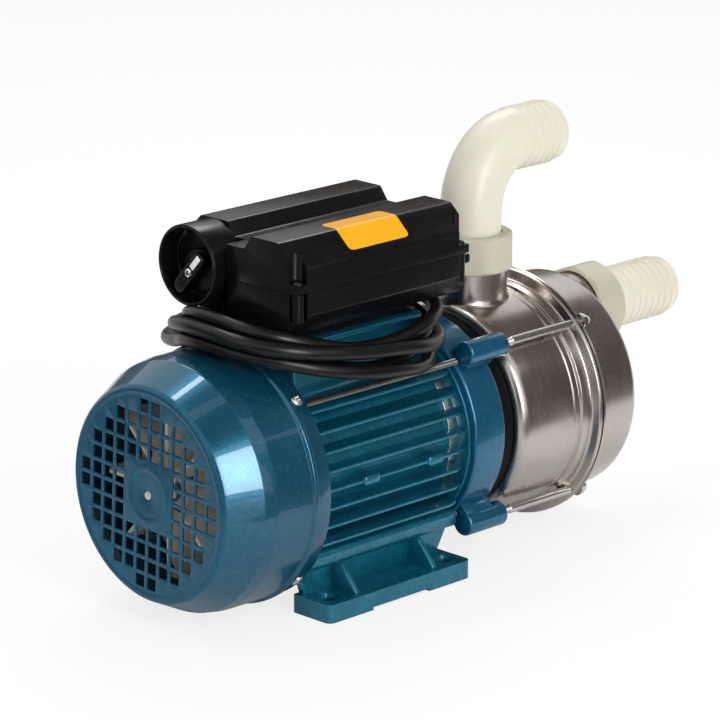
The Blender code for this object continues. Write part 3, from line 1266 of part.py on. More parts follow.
# Rotary switch in its cup
def make_switch_body():
    end = BOX_FACE - SEAT_GAP
    inner = CUP_RADIUS - CUP_WALL
    profile = [(end, 0.0), (end, CUP_RADIUS), (CUP_X, CUP_RADIUS), (CUP_X, inner), (CUP_FLOOR, inner),
               (CUP_FLOOR, 0.0)]
    cup = turned("switch_body", profile, BLACK_PLASTIC, base=(0, CUP_Y, CUP_HEIGHT))
    lug_low = (end - SWITCH_LUG_THICKNESS, CUP_Y - SWITCH_LUG_WIDTH / 2, BOX_BOTTOM + SEAT_GAP)
    lug_high = (end, CUP_Y + SWITCH_LUG_WIDTH / 2, CUP_HEIGHT - inner)
    join(cup, span_box("switch_lug", lug_low, lug_high, cutter=True))
    spindle = cylinder("knob_screw_way", KNOB_SCREW_RADIUS + SEAT_GAP, KNOB_SCREW_LENGTH, (CUP_FLOOR - SEAT_GAP, CUP_Y,
                       KNOB_HEIGHT), cutter=True)
    cut(cup, spindle)
    settle(cup)


def make_switch_knob():
    plate_end = CUP_FLOOR - SEAT_GAP
    plate_start = plate_end - KNOB_PLATE
    lever_start = plate_start - LEVER_HEIGHT
    plate = [(plate_end, 0.0), (plate_end, KNOB_RADIUS), (plate_start + 0.6 * MM, KNOB_RADIUS),
             (plate_start, KNOB_RADIUS - 0.6 * MM), (plate_start, 0.0)]
    knob = turned("switch_knob", plate, BLACK_PLASTIC, sides=COARSE, base=(0, CUP_Y, KNOB_HEIGHT))
    half = LEVER_LENGTH / 2 - LEVER_WIDTH / 2
    steps = 6
    lever_outline = []
    for end in (1, -1):
        for k in range(steps + 1):
            angle = math.pi * k / steps + (0.0 if end > 0 else math.pi)
            lever_outline.append((LEVER_WIDTH / 2 * math.cos(angle), end * half + LEVER_WIDTH / 2 * math.sin(angle)))
    lever = extruded("knob_lever", lever_outline, LEVER_HEIGHT + KNOB_PLATE / 2, (0, 0, 0), cutter=True)
    lever.matrix_basis = knob_turn(lever_start) @ lever.matrix_basis
    length, width, depth = POINTER_SIZE
    pocket = box("pointer_pocket", (2 * depth, width + 2 * SEAT_GAP, length + 2 * SEAT_GAP), (0, 0, 0), cutter=True)
    pocket.matrix_basis = knob_turn(lever_start) @ Matrix.Translation((0.0, 0.0, POINTER_REACH))
    way = cylinder("knob_screw_way", KNOB_SCREW_RADIUS + SEAT_GAP, LEVER_HEIGHT * 4,
                   (lever_start - LEVER_HEIGHT, CUP_Y, KNOB_HEIGHT), cutter=True)
    join(knob, lever)
    cut(knob, pocket, way)
    settle(knob)


def knob_turn(start):
    return Matrix.Translation((start, CUP_Y, KNOB_HEIGHT)) @ Matrix.Rotation(LEVER_TURN, 4, "X")


def make_knob_trim():
    lever_start = CUP_FLOOR - SEAT_GAP - KNOB_PLATE - LEVER_HEIGHT
    length, width, depth = POINTER_SIZE
    pointer = box("knob_pointer", (depth, width, length), (0, 0, 0), WHITE_INSERT)
    pointer.matrix_basis = knob_turn(lever_start) @ Matrix.Translation((depth / 2 - SEAT_GAP, 0.0, POINTER_REACH))
    settle(pointer)
    seat = lever_start - SEAT_GAP
    profile = [(seat + KNOB_SCREW_LENGTH, 0.0), (seat + KNOB_SCREW_LENGTH, KNOB_SCREW_RADIUS), (seat, KNOB_SCREW_RADIUS),
               (seat, KNOB_SCREW_HEAD), (seat - KNOB_SCREW_HEAD_HEIGHT, KNOB_SCREW_HEAD * 0.8),
               (seat - KNOB_SCREW_HEAD_HEIGHT, 0.0)]
    settle(turned("knob_screw", profile, STEEL, sides=SMALL, base=(0, CUP_Y, KNOB_HEIGHT)))


# Power cord: gland, lead into the coil, coil, tail and plug
def gland_neck():
    return CORD_RADIUS + SEAT_GAP + GLAND_WALL


def make_gland():
    bore = CORD_RADIUS + SEAT_GAP
    neck = gland_neck()
    seat = BOX_END + SEAT_GAP
    end = seat + GLAND_LENGTH
    collar = seat + GLAND_COLLAR
    profile = [(end, bore + GLAND_WALL), (collar, neck), (collar, GLAND_RADIUS), (seat, GLAND_RADIUS), (seat, neck),
               (BOX_END - BOX_WALL - 1.0 * MM, neck), (BOX_END - BOX_WALL - 1.0 * MM, bore), (end, bore)]
    settle(turned("cord_gland", profile, BLACK_PLASTIC, sides=COARSE, base=(0, GLAND_Y, GLAND_HEIGHT)))


def through(before, start, end, after, share):
    # smooth step from start to end of a row of numbers or points
    return 0.5 * (2 * start + (end - before) * share + (2 * before - 5 * start + 4 * end - after) * share ** 2
                  + (3 * start - before - 3 * end + after) * share ** 3)


def round_coil(values, turn):
    share = turn / (2 * math.pi) * len(values)
    k = math.floor(share)
    near = [values[(k + step) % len(values)] for step in (-1, 0, 1, 2)]
    return through(*near, share - k) * MM


def coil_state(turn):
    # centre, outward direction, half thickness, half height and lean of the wound bundle at a turn
    along, across = math.cos(turn), math.sin(turn)
    reach = (COIL_END if along > 0 else COIL_START) - COIL_MIDDLE
    power = 2 / COIL_SQUARENESS
    center = Vector((COIL_MIDDLE + reach * abs(along) ** power,
                     math.copysign(COIL_HALF_WIDTH * abs(across) ** power, across),
                     round_coil(COIL_HEIGHTS, turn)))
    outward = Vector((abs(along) ** (2 - power) / reach,
                      math.copysign(abs(across) ** (2 - power) / COIL_HALF_WIDTH, across), 0.0)).normalized()
    lean = COIL_LEAN * max(0.0, along) ** 2
    return center, outward, round_coil(COIL_HALF_THICKNESSES, turn), round_coil(COIL_HALF_HEIGHTS, turn), lean


def coil_point(turn, lift):
    # a point on the bundle's skin, lifted from its outer side
    center, outward, thickness, height, lean = coil_state(turn)
    return (center + outward * (thickness * math.cos(lift) + lean * math.sin(lift))
            + Vector((0, 0, height * math.sin(lift))))


def make_coil():
    def build(work):
        rings = []
        for k in range(COIL_STATIONS):
            turn = 2 * math.pi * k / COIL_STATIONS
            rings.append([work.verts.new(coil_point(turn, 2 * math.pi * j / COIL_SIDES)) for j in range(COIL_SIDES)])
        for k in range(COIL_STATIONS):
            here, there = rings[k], rings[(k + 1) % COIL_STATIONS]
            for j in range(COIL_SIDES):
                n = (j + 1) % COIL_SIDES
                work.faces.new((here[j], there[j], there[n], here[n]))
        bmesh.ops.recalc_face_normals(work, faces=work.faces)

    coil = add_object("cord_coil", mesh_from(build, "cord_coil"), RUBBER)
    settle(coil, 60.0)


def smooth_route(points, spacing):
    # points every so often along a smooth curve through the route's own points
    padded = [points[0] * 2 - points[1], *points, points[-1] * 2 - points[-2]]
    route = []
    for k in range(1, len(padded) - 2):
        a, b, c, d = padded[k - 1:k + 3]
        count = max(2, round((c - b).length / spacing))
        for j in range(count):
            t = j / count
            route.append(through(a, b, c, d, t))
    return route + [points[-1]]


def beside_coil(turn, lift, lean):
    # a point where the cord's end lies against the bundle, some way up or down its outer side
    outward = coil_state(math.radians(turn))[1]
    away = (outward * math.cos(lift) + Vector((0, 0, math.sin(lift)))).normalized()
    return coil_point(math.radians(turn), lift) + away * (CORD_RADIUS * math.cos(lean) - CORD_NESTLE)


def make_power_cord():
    # straight out of the gland, round a wide loop on the far side and down to the coil
    out = Vector((BOX_END + SEAT_GAP + GLAND_LENGTH + SEAT_GAP, GLAND_Y, GLAND_HEIGHT))
    end = beside_coil(LEAD_MEETS, math.radians(10), math.radians(20))
    first = out + Vector((LEAD_START, 0, 0))
    middle = first + Vector((0, LEAD_LOOP, 0))
    route = [out, first]
    for k, degrees in enumerate(LEAD_ANGLES, 1):
        angle = math.radians(degrees)
        drop = (GLAND_HEIGHT - end.z) * 0.6 * (k / len(LEAD_ANGLES)) ** 1.6
        route.append(middle + Vector((LEAD_LOOP * math.cos(angle), LEAD_LOOP * math.sin(angle), -drop)))
    last = route[-1]
    route.append(last.lerp(end, 0.45) + Vector((0, CORD_RADIUS * 0.6, 0)))
    route.append(end)
    cord = tube("power_cord", smooth_route(route, 2.5 * CORD_RADIUS), CORD_RADIUS, RUBBER, 2)
    settle(cord, 60.0)


def plug_top():
    start = beside_coil(TAIL_LEAVES, math.radians(-35), math.radians(20))
    across = max(start.y, FIN_TIP_HALF_WIDTH + FIN_LUG_HEIGHT / 2 + PLUG_RADIUS) + AIR_GAP
    return Vector((start.x - 1.5 * TAIL_BEND, across, start.z - TAIL_BEND - 2 * CORD_RADIUS))


def make_cord_tail():
    start = beside_coil(TAIL_LEAVES, math.radians(-35), math.radians(20))
    end = plug_top() + Vector((0, 0, AIR_GAP + SEAT_GAP))
    middle = Vector((end.x + TAIL_BEND, 0, end.z + CORD_RADIUS))
    route = [start]
    for k in range(4):
        angle = math.radians(90 + 30 * k)
        height = middle.z + TAIL_BEND * math.sin(angle)
        share = (k + 1) / 4
        across = start.y + (end.y - start.y) * (1 - (1 - share) ** 2)
        route.append(Vector((middle.x + TAIL_BEND * math.cos(angle), across, height)))
    route.append(end)
    tail = tube("cord_tail", smooth_route(route, 2.0 * CORD_RADIUS), CORD_RADIUS, RUBBER, 2)
    settle(tail, 60.0)


def make_plug():
    top = plug_top()
    face = -PLUG_NECK - PLUG_BODY
    profile = [(0.0, 0.0), (0.0, PLUG_NECK_RADIUS - 1.0 * MM), (-PLUG_NECK, PLUG_NECK_RADIUS),
               (-PLUG_NECK - PLUG_BODY * 0.3, PLUG_RADIUS * 0.82), (face + PLUG_BODY * 0.4, PLUG_RADIUS),
               (face, PLUG_RADIUS), (face, 0.0)]
    plug = turned("plug", profile, RUBBER, sides=COARSE, base=top, rotation=(0, 0, 0))
    for side in (-1, 1):
        spot = top + Vector((side * PIN_SPACING / 2, 0, face - PIN_LENGTH))
        pin = cylinder("plug_pin", PIN_RADIUS, PIN_LENGTH + 2.0 * MM, spot, (0, 0, 0), 10, cutter=True)
        join(plug, pin)
    settle(plug)


def build_pump():
    make_motor_housing()
    make_stator_core()
    make_winding("winding_rear", CORE_X - SEAT_GAP - WINDING_LENGTH)
    make_winding("winding_front", CORE_END + SEAT_GAP)
    make_shaft()
    make_rotor_core()
    make_bearing("rear_bearing", REAR_BEARING_X, REAR_BEARING)
    make_bearing("front_bearing", FRONT_BEARING_X, FRONT_BEARING)
    make_cooling_fan()
    make_rear_shield()
    make_front_shield()
    make_motor_bolts()
    make_fan_cover()
    make_fan_cover_screws()
    make_backing_disc()
    make_pump_casing()
    make_gasket()
    make_front_cover()
    make_tie_rods()
    make_cap_nuts()
    make_seal()
    make_impeller()
    make_impeller_nut()
    make_diffuser()
    make_union_nuts()
    make_front_barb()
    make_elbow()
    make_box_base()
    make_box_lid()
    make_lid_screws()
    make_capacitor()
    make_terminal_block()
    make_switch_body()
    make_switch_knob()
    make_knob_trim()
    make_gland()
    make_coil()
    make_power_cord()
    make_cord_tail()
    make_plug()


build_pump()
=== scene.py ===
import math

import bmesh
import bpy
from mathutils import Matrix, Vector

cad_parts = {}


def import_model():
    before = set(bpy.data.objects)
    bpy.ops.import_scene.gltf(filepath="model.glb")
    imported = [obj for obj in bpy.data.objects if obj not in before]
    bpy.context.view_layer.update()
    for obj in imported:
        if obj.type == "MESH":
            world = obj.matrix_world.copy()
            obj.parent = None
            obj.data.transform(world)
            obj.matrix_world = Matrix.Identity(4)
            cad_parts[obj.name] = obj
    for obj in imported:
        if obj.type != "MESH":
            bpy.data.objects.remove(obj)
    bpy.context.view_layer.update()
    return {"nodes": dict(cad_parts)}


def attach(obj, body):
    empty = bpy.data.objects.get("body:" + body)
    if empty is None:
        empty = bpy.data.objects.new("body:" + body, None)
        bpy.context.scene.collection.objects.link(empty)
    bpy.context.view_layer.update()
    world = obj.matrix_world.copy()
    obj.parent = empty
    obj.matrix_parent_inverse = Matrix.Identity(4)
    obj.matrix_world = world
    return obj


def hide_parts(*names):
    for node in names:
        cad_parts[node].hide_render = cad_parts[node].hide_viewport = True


# Electric transfer pump, dressed for the camera.
# Sizes are millimetres in the motor's own frame: x along the shaft from the grille, z above the shaft.
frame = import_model()
nodes = frame["nodes"]
print("frame loaded:", len(nodes), "nodes")

motorFrame = {"halfLength": 205.1, "axisHeight": 73.0}


def pick(sizes, keys):
    return [sizes[key] for key in keys.split()]


def world(x, y, z):
    return Vector(((x - motorFrame["halfLength"]) / 1000, y / 1000, (z + motorFrame["axisHeight"]) / 1000))


# camera, lamps and floor
cameraSizes = {"place": (-1306.788, -1466.312, 638.959), "azimuth": -44.973, "tilt": 16.061, "roll": -0.007,
               "lens": 194.97}


def makeCamera(sizes):
    a, e, r = (math.radians(sizes[k]) for k in ("azimuth", "tilt", "roll"))
    ahead = Vector((-math.sin(a), math.cos(a), 0))
    right = Vector((math.cos(a), math.sin(a), 0))
    up = ahead * math.sin(e) + Vector((0, 0, 1)) * math.cos(e)
    look = ahead * math.cos(e) - Vector((0, 0, 1)) * math.sin(e)
    rolledRight = right * math.cos(r) + up * math.sin(r)
    rolledUp = up * math.cos(r) - right * math.sin(r)
    data = bpy.data.cameras.new("photoCamera")
    data.lens = sizes["lens"]
    data.sensor_width = 36.0
    data.clip_start, data.clip_end = 0.05, 60
    camera = bpy.data.objects.new("photoCamera", data)
    bpy.context.scene.collection.objects.link(camera)
    turn = Matrix((rolledRight, rolledUp, -look)).transposed()
    camera.matrix_world = Matrix.Translation(world(*sizes["place"])) @ turn.to_4x4()
    bpy.context.scene.camera = camera


makeCamera(cameraSizes)

lampSizes = {"skyStrength": 0.66, "floorGlow": 0.8,
             "boxes": [  # place, aim, width, height, watts, in metres
                 ((-0.52, -1.58, 0.68), (-0.18, -0.05, 0.1), 0.40, 1.05, 17.0),
                 ((-0.17, 0.41, 1.50), (-0.19, -0.02, 0.13), 0.30, 0.13, 1.9),
                 ((0.60, 0.70, 1.30), (0.1, 0.0, 0.12), 0.70, 0.40, 7.0)]}
cardSizes = {"color": (0.120, 0.100, 0.086),
             "cards": [  # middle, half width vector, half height vector, in metres
                 ((1.45, -1.45, 0.60), (0.70, 0.80, 0.0), (0.0, 0.0, 0.72)),
                 ((-1.75, -1.95, 0.35), (0.95, -0.75, 0.0), (0.0, 0.0, 0.95)),
                 ((-1.60, 1.30, 0.35), (0.65, 0.75, 0.0), (0.0, 0.0, 0.75)),
                 ((1.60, 1.70, 0.30), (0.90, -0.80, 0.0), (0.0, 0.0, 0.70)),
                 ((0.45, 0.05, 1.60), (0.55, -0.50, 0.0), (0.45, 0.45, 0.0)),
                 ((0.62, -1.02, -0.0002), (0.84, 0.0, 0.0), (0.0, 0.78, 0.0)),
                 ((-1.25, -0.40, -0.0002), (0.83, 0.0, 0.0), (0.0, 1.30, 0.0)),
                 ((1.00, -0.42, 1.12), (0.40, 0.0, -0.37), (0.12, 0.60, 0.15)),
                 ((-0.42, -0.70, 1.30), (0.36, 0.0, 0.0), (0.0, 0.37, 0.22))]}


def link(tree, source, target):
    tree.links.new(source, target)


def newNode(tree, kind, links=(), **settings):
    node = tree.nodes.new(kind)
    for name, value in settings.items():
        setattr(node, name, value)
    for socket, source in links:
        link(tree, source, node.inputs[socket])
    return node


def mathNode(tree, operation, a, b=None, clamp=False):
    node = tree.nodes.new("ShaderNodeMath")
    node.operation = operation
    node.use_clamp = clamp
    for socket, value in ((0, a), (1, b)):
        if value is None:
            continue
        if isinstance(value, (int, float)):
            node.inputs[socket].default_value = value
        else:
            link(tree, value, node.inputs[socket])
    return node.outputs[0]


def backgroundNodes(tree, surfaceOut, plain, lit):
    # white to the camera, to gloss and through glass, the lamp level to everything else
    path = tree.nodes.new("ShaderNodeLightPath")
    seen = mathNode(tree, "MAXIMUM", path.outputs["Is Camera Ray"], path.outputs["Is Glossy Ray"])
    seen = mathNode(tree, "MAXIMUM", seen, path.outputs["Is Transmission Ray"])
    mix = tree.nodes.new("ShaderNodeMixShader")
    link(tree, seen, mix.inputs["Fac"])
    link(tree, lit, mix.inputs[1])
    link(tree, plain, mix.inputs[2])
    link(tree, mix.outputs[0], surfaceOut)


def makeSurroundings(lamps, cards):
    scene = bpy.context.scene
    scene.view_settings.view_transform = "Standard"
    sky = bpy.data.worlds.new("studio")
    scene.world = sky
    sky.use_nodes = True
    tree = sky.node_tree
    tree.nodes.clear()
    out = tree.nodes.new("ShaderNodeOutputWorld")
    levels = []
    for strength in (1.0, lamps["skyStrength"]):
        level = tree.nodes.new("ShaderNodeBackground")
        level.inputs["Color"].default_value = (1, 1, 1, 1)
        level.inputs["Strength"].default_value = strength
        levels.append(level.outputs[0])
    backgroundNodes(tree, out.inputs["Surface"], *levels)

    for k, (place, aim, width, height, watts) in enumerate(lamps["boxes"]):
        data = bpy.data.lights.new(f"softBox{k}", "AREA")
        data.shape = "RECTANGLE"
        data.size, data.size_y, data.energy = width, height, watts
        lamp = bpy.data.objects.new(f"softBox{k}", data)
        scene.collection.objects.link(lamp)
        away = Vector(place) - Vector(aim)
        lamp.matrix_world = Matrix.Translation(place) @ away.to_track_quat("Z", "Y").to_matrix().to_4x4()

    # a pale floor that keeps the shadow and is white where the camera sees nothing on it
    floorMesh = bpy.data.meshes.new("studioFloor")
    reach, level = 6.0, -0.0004
    floorMesh.from_pydata([(-reach, -reach, level), (reach, -reach, level), (reach, reach, level),
                           (-reach, reach, level)], [], [(0, 1, 2, 3)])
    floor = bpy.data.objects.new("studioFloor", floorMesh)
    scene.collection.objects.link(floor)
    paper = bpy.data.materials.new("studioPaper")
    paper.use_nodes = True
    tree = paper.node_tree
    shader = tree.nodes["Principled BSDF"]
    shader.inputs["Base Color"].default_value = (0.93, 0.93, 0.93, 1)
    shader.inputs["Roughness"].default_value = 0.9
    shader.inputs["Specular IOR Level"].default_value = 0.1
    glow = tree.nodes.new("ShaderNodeEmission")
    glow.inputs["Strength"].default_value = 1.0
    mix = tree.nodes.new("ShaderNodeMixShader")
    path = tree.nodes.new("ShaderNodeLightPath")
    link(tree, mathNode(tree, "MULTIPLY", path.outputs["Is Camera Ray"], lamps["floorGlow"]),
         mix.inputs["Fac"])
    link(tree, shader.outputs[0], mix.inputs[1])
    link(tree, glow.outputs[0], mix.inputs[2])
    link(tree, mix.outputs[0], tree.nodes["Material Output"].inputs["Surface"])
    floorMesh.materials.append(paper)

    # dark cards off camera, which only the metal sees
    shade = bpy.data.materials.new("studioCard")
    shade.use_nodes = True
    shader = shade.node_tree.nodes["Principled BSDF"]
    shader.inputs["Base Color"].default_value = (*cards["color"], 1)
    shader.inputs["Roughness"].default_value = 1.0
    for k, spot in enumerate(cards["cards"]):
        middle, across, up = (Vector(part) for part in spot)
        mesh = bpy.data.meshes.new(f"studioCard{k}")
        mesh.from_pydata([middle - across - up, middle + across - up, middle + across + up,
                          middle - across + up], [], [(0, 1, 2, 3)])
        mesh.materials.append(shade)
        card = bpy.data.objects.new(f"studioCard{k}", mesh)
        scene.collection.objects.link(card)
        card.visible_camera = card.visible_shadow = card.visible_diffuse = False


makeSurroundings(lampSizes, cardSizes)
print("camera, lamps and floor set")


# finishes: shared groups first, then one material for each finish
def newGroup(name, inputs, outputs):
    group = bpy.data.node_groups.new(name, "ShaderNodeTree")
    for label, value in inputs:
        socket = group.interface.new_socket(name=label, in_out="INPUT", socket_type="NodeSocketFloat")
        socket.default_value = value
    for label, kind in outputs:
        group.interface.new_socket(name=label, in_out="OUTPUT", socket_type=kind)
    return group, group.nodes.new("NodeGroupInput"), group.nodes.new("NodeGroupOutput")


def rangeNode(tree, value, low, high, toLow, toHigh):
    node = tree.nodes.new("ShaderNodeMapRange")
    for socket, number in zip(("From Min", "From Max", "To Min", "To Max"), (low, high, toLow, toHigh)):
        node.inputs[socket].default_value = number
    link(tree, value, node.inputs["Value"])
    return node.outputs["Result"]


def noiseNode(tree, vector, scale, detail=4.0, roughness=0.5):
    node = tree.nodes.new("ShaderNodeTexNoise")
    node.inputs["Detail"].default_value = detail
    node.inputs["Roughness"].default_value = roughness
    if isinstance(scale, (int, float)):
        node.inputs["Scale"].default_value = scale
    else:
        link(tree, scale, node.inputs["Scale"])
    link(tree, vector, node.inputs["Vector"])
    return node.outputs["Fac"]


def objectPlace(tree):
    return tree.nodes.new("ShaderNodeTexCoord").outputs["Object"]


def makeCastGrain():
    # pebbled skin of a sand casting: a height and a mask of the high spots
    group, given, out = newGroup("castGrain", [("Scale", 500.0)],
                                 [("Height", "NodeSocketFloat"), ("HighSpots", "NodeSocketFloat")])
    place = objectPlace(group)
    fine = noiseNode(group, place, given.outputs["Scale"], 5.0, 0.6)
    coarseScale = mathNode(group, "MULTIPLY", given.outputs["Scale"], 0.18)
    coarse = noiseNode(group, place, coarseScale, 3.0, 0.5)
    height = mathNode(group, "ADD", mathNode(group, "MULTIPLY", fine, 0.6),
                      mathNode(group, "MULTIPLY", coarse, 0.4))
    link(group, height, out.inputs["Height"])
    link(group, rangeNode(group, height, 0.45, 0.62, 0.0, 1.0), out.inputs["HighSpots"])
    return group


def makeHandling():
    # faint smears and dust that change the gloss over a few centimetres
    group, given, out = newGroup("handling", [("Scale", 40.0), ("Amount", 1.0)],
                                 [("Smear", "NodeSocketFloat"), ("Dust", "NodeSocketFloat")])
    place = objectPlace(group)
    smear = noiseNode(group, place, given.outputs["Scale"], 6.0, 0.65)
    smear = mathNode(group, "MULTIPLY", rangeNode(group, smear, 0.35, 0.7, -1.0, 1.0),
                     given.outputs["Amount"])
    link(group, smear, out.inputs["Smear"])
    specks = noiseNode(group, place, mathNode(group, "MULTIPLY", given.outputs["Scale"], 30.0), 2.0, 0.5)
    dust = mathNode(group, "MULTIPLY", rangeNode(group, specks, 0.66, 0.74, 0.0, 1.0),
                    given.outputs["Amount"])
    link(group, dust, out.inputs["Dust"])
    return group


def makeSparkle():
    # metal flakes in the paint, each cell its own brightness
    group, given, out = newGroup("sparkle", [("Scale", 1800.0)], [("Flake", "NodeSocketFloat")])
    place = objectPlace(group)
    cells = group.nodes.new("ShaderNodeTexVoronoi")
    link(group, given.outputs["Scale"], cells.inputs["Scale"])
    link(group, place, cells.inputs["Vector"])
    split = group.nodes.new("ShaderNodeSeparateColor")
    link(group, cells.outputs["Color"], split.inputs["Color"])
    link(group, rangeNode(group, split.outputs[0], 0.72, 1.0, 0.0, 1.0), out.inputs["Flake"])
    return group


def makeDrawLines():
    # fine lines round the shaft, as a drawn and polished sheet shows them
    group, given, out = newGroup("drawLines", [("Scale", 900.0)], [("Line", "NodeSocketFloat")])
    place = objectPlace(group)
    stretch = group.nodes.new("ShaderNodeVectorMath")
    stretch.operation = "MULTIPLY"
    stretch.inputs[1].default_value = (1.0, 0.02, 0.02)
    link(group, place, stretch.inputs[0])
    line = noiseNode(group, stretch.outputs[0], given.outputs["Scale"], 3.0, 0.7)
    link(group, line, out.inputs["Line"])
    return group


castGrain, handling, sparkle, drawLines = makeCastGrain(), makeHandling(), makeSparkle(), makeDrawLines()


def useGroup(tree, group, **values):
    node = tree.nodes.new("ShaderNodeGroup")
    node.node_tree = group
    for label, value in values.items():
        node.inputs[label].default_value = value
    return node.outputs


def mixColors(tree, factor, first, second):
    node = tree.nodes.new("ShaderNodeMix")
    node.data_type = "RGBA"
    link(tree, factor, node.inputs["Factor"])
    for socket, value in ((node.inputs[6], first), (node.inputs[7], second)):
        if isinstance(value, tuple):
            socket.default_value = (*value, 1)
        else:
            link(tree, value, socket)
    return node.outputs[2]


def bumpFrom(tree, height, strength, distance):
    node = tree.nodes.new("ShaderNodeBump")
    node.inputs["Strength"].default_value = strength
    node.inputs["Distance"].default_value = distance
    link(tree, height, node.inputs["Height"])
    return node.outputs["Normal"]


def newFinish(name, metallic=0.0, roughness=0.5, coat=0.0, coatRoughness=0.05, specular=0.5):
    material = bpy.data.materials.new(name)
    material.use_nodes = True
    shader = material.node_tree.nodes["Principled BSDF"]
    for label, value in (("Metallic", metallic), ("Roughness", roughness), ("Coat Weight", coat),
                         ("Coat Roughness", coatRoughness), ("Specular IOR Level", specular)):
        shader.inputs[label].default_value = value
    return material, material.node_tree, shader


def alongShaft(tree):
    # the x of the motor's frame, in metres from the middle of the part
    return newNode(tree, "ShaderNodeSeparateXYZ", [(0, objectPlace(tree))]).outputs[0]


def paintFinish(name, deep, bright, roughness, grain, grainDepth, faceX=None):
    material, tree, shader = newFinish(name, metallic=0.6, roughness=roughness, coat=0.6, coatRoughness=0.03)
    flake = useGroup(tree, sparkle, Scale=3600.0)["Flake"]
    cast = useGroup(tree, castGrain, Scale=grain)
    marks = useGroup(tree, handling, Scale=28.0, Amount=1.0)
    body = mixColors(tree, cast["HighSpots"], deep, bright)
    lively = mixColors(tree, mathNode(tree, "MULTIPLY", flake, 0.28), body, (0.05, 0.34, 0.44))
    link(tree, mixColors(tree, mathNode(tree, "MULTIPLY", marks["Dust"], 0.25), lively, (0.30, 0.38, 0.40)),
         shader.inputs["Base Color"])
    rough = mathNode(tree, "ADD", mathNode(tree, "MULTIPLY", marks["Smear"], 0.04), roughness)
    if faceX is not None:  # the pressed face keeps a flatter coat than the sides
        onFace = rangeNode(tree, alongShaft(tree), faceX, faceX + 0.0025, 1.0, 0.0)
        rough = mathNode(tree, "ADD", rough, mathNode(tree, "MULTIPLY", onFace, 0.16))
        link(tree, rangeNode(tree, onFace, 0.0, 1.0, 0.6, 0.15), shader.inputs["Coat Weight"])
    link(tree, rough, shader.inputs["Roughness"])
    link(tree, bumpFrom(tree, cast["Height"], grainDepth, 0.0004), shader.inputs["Normal"])
    return material


def plasticFinish(name, color, second, roughness, coat, grain, depth, specular=0.5, milky=0.0):
    material, tree, shader = newFinish(name, roughness=roughness, coat=coat, specular=specular)
    shader.inputs["Subsurface Weight"].default_value = milky
    shader.inputs["Subsurface Scale"].default_value = 0.004
    marks = useGroup(tree, handling, Scale=35.0, Amount=1.0)
    skin = useGroup(tree, castGrain, Scale=grain)
    tone = mathNode(tree, "ADD", mathNode(tree, "MULTIPLY", marks["Smear"], 0.35), 0.5, clamp=True)
    link(tree, mixColors(tree, tone, color, second), shader.inputs["Base Color"])
    link(tree, mathNode(tree, "ADD", mathNode(tree, "MULTIPLY", marks["Smear"], 0.05), roughness),
         shader.inputs["Roughness"])
    link(tree, bumpFrom(tree, skin["Height"], depth, 0.0002), shader.inputs["Normal"])
    return material


def metalFinish(name, color, second, roughness, lines, grain=700.0, depth=0.08):
    material, tree, shader = newFinish(name, metallic=1.0, roughness=roughness)
    line = useGroup(tree, drawLines, Scale=lines)["Line"]
    marks = useGroup(tree, handling, Scale=30.0, Amount=1.0)
    skin = useGroup(tree, castGrain, Scale=grain)
    link(tree, mixColors(tree, line, color, second), shader.inputs["Base Color"])
    uneven = mathNode(tree, "ADD", mathNode(tree, "MULTIPLY", marks["Smear"], 0.05),
                      mathNode(tree, "MULTIPLY", line, 0.14))
    link(tree, mathNode(tree, "ADD", uneven, roughness - 0.07), shader.inputs["Roughness"])
    both = mathNode(tree, "ADD", mathNode(tree, "MULTIPLY", line, 0.5),
                    mathNode(tree, "MULTIPLY", skin["Height"], 0.5))
    link(tree, bumpFrom(tree, both, depth, 0.0002), shader.inputs["Normal"])
    return material


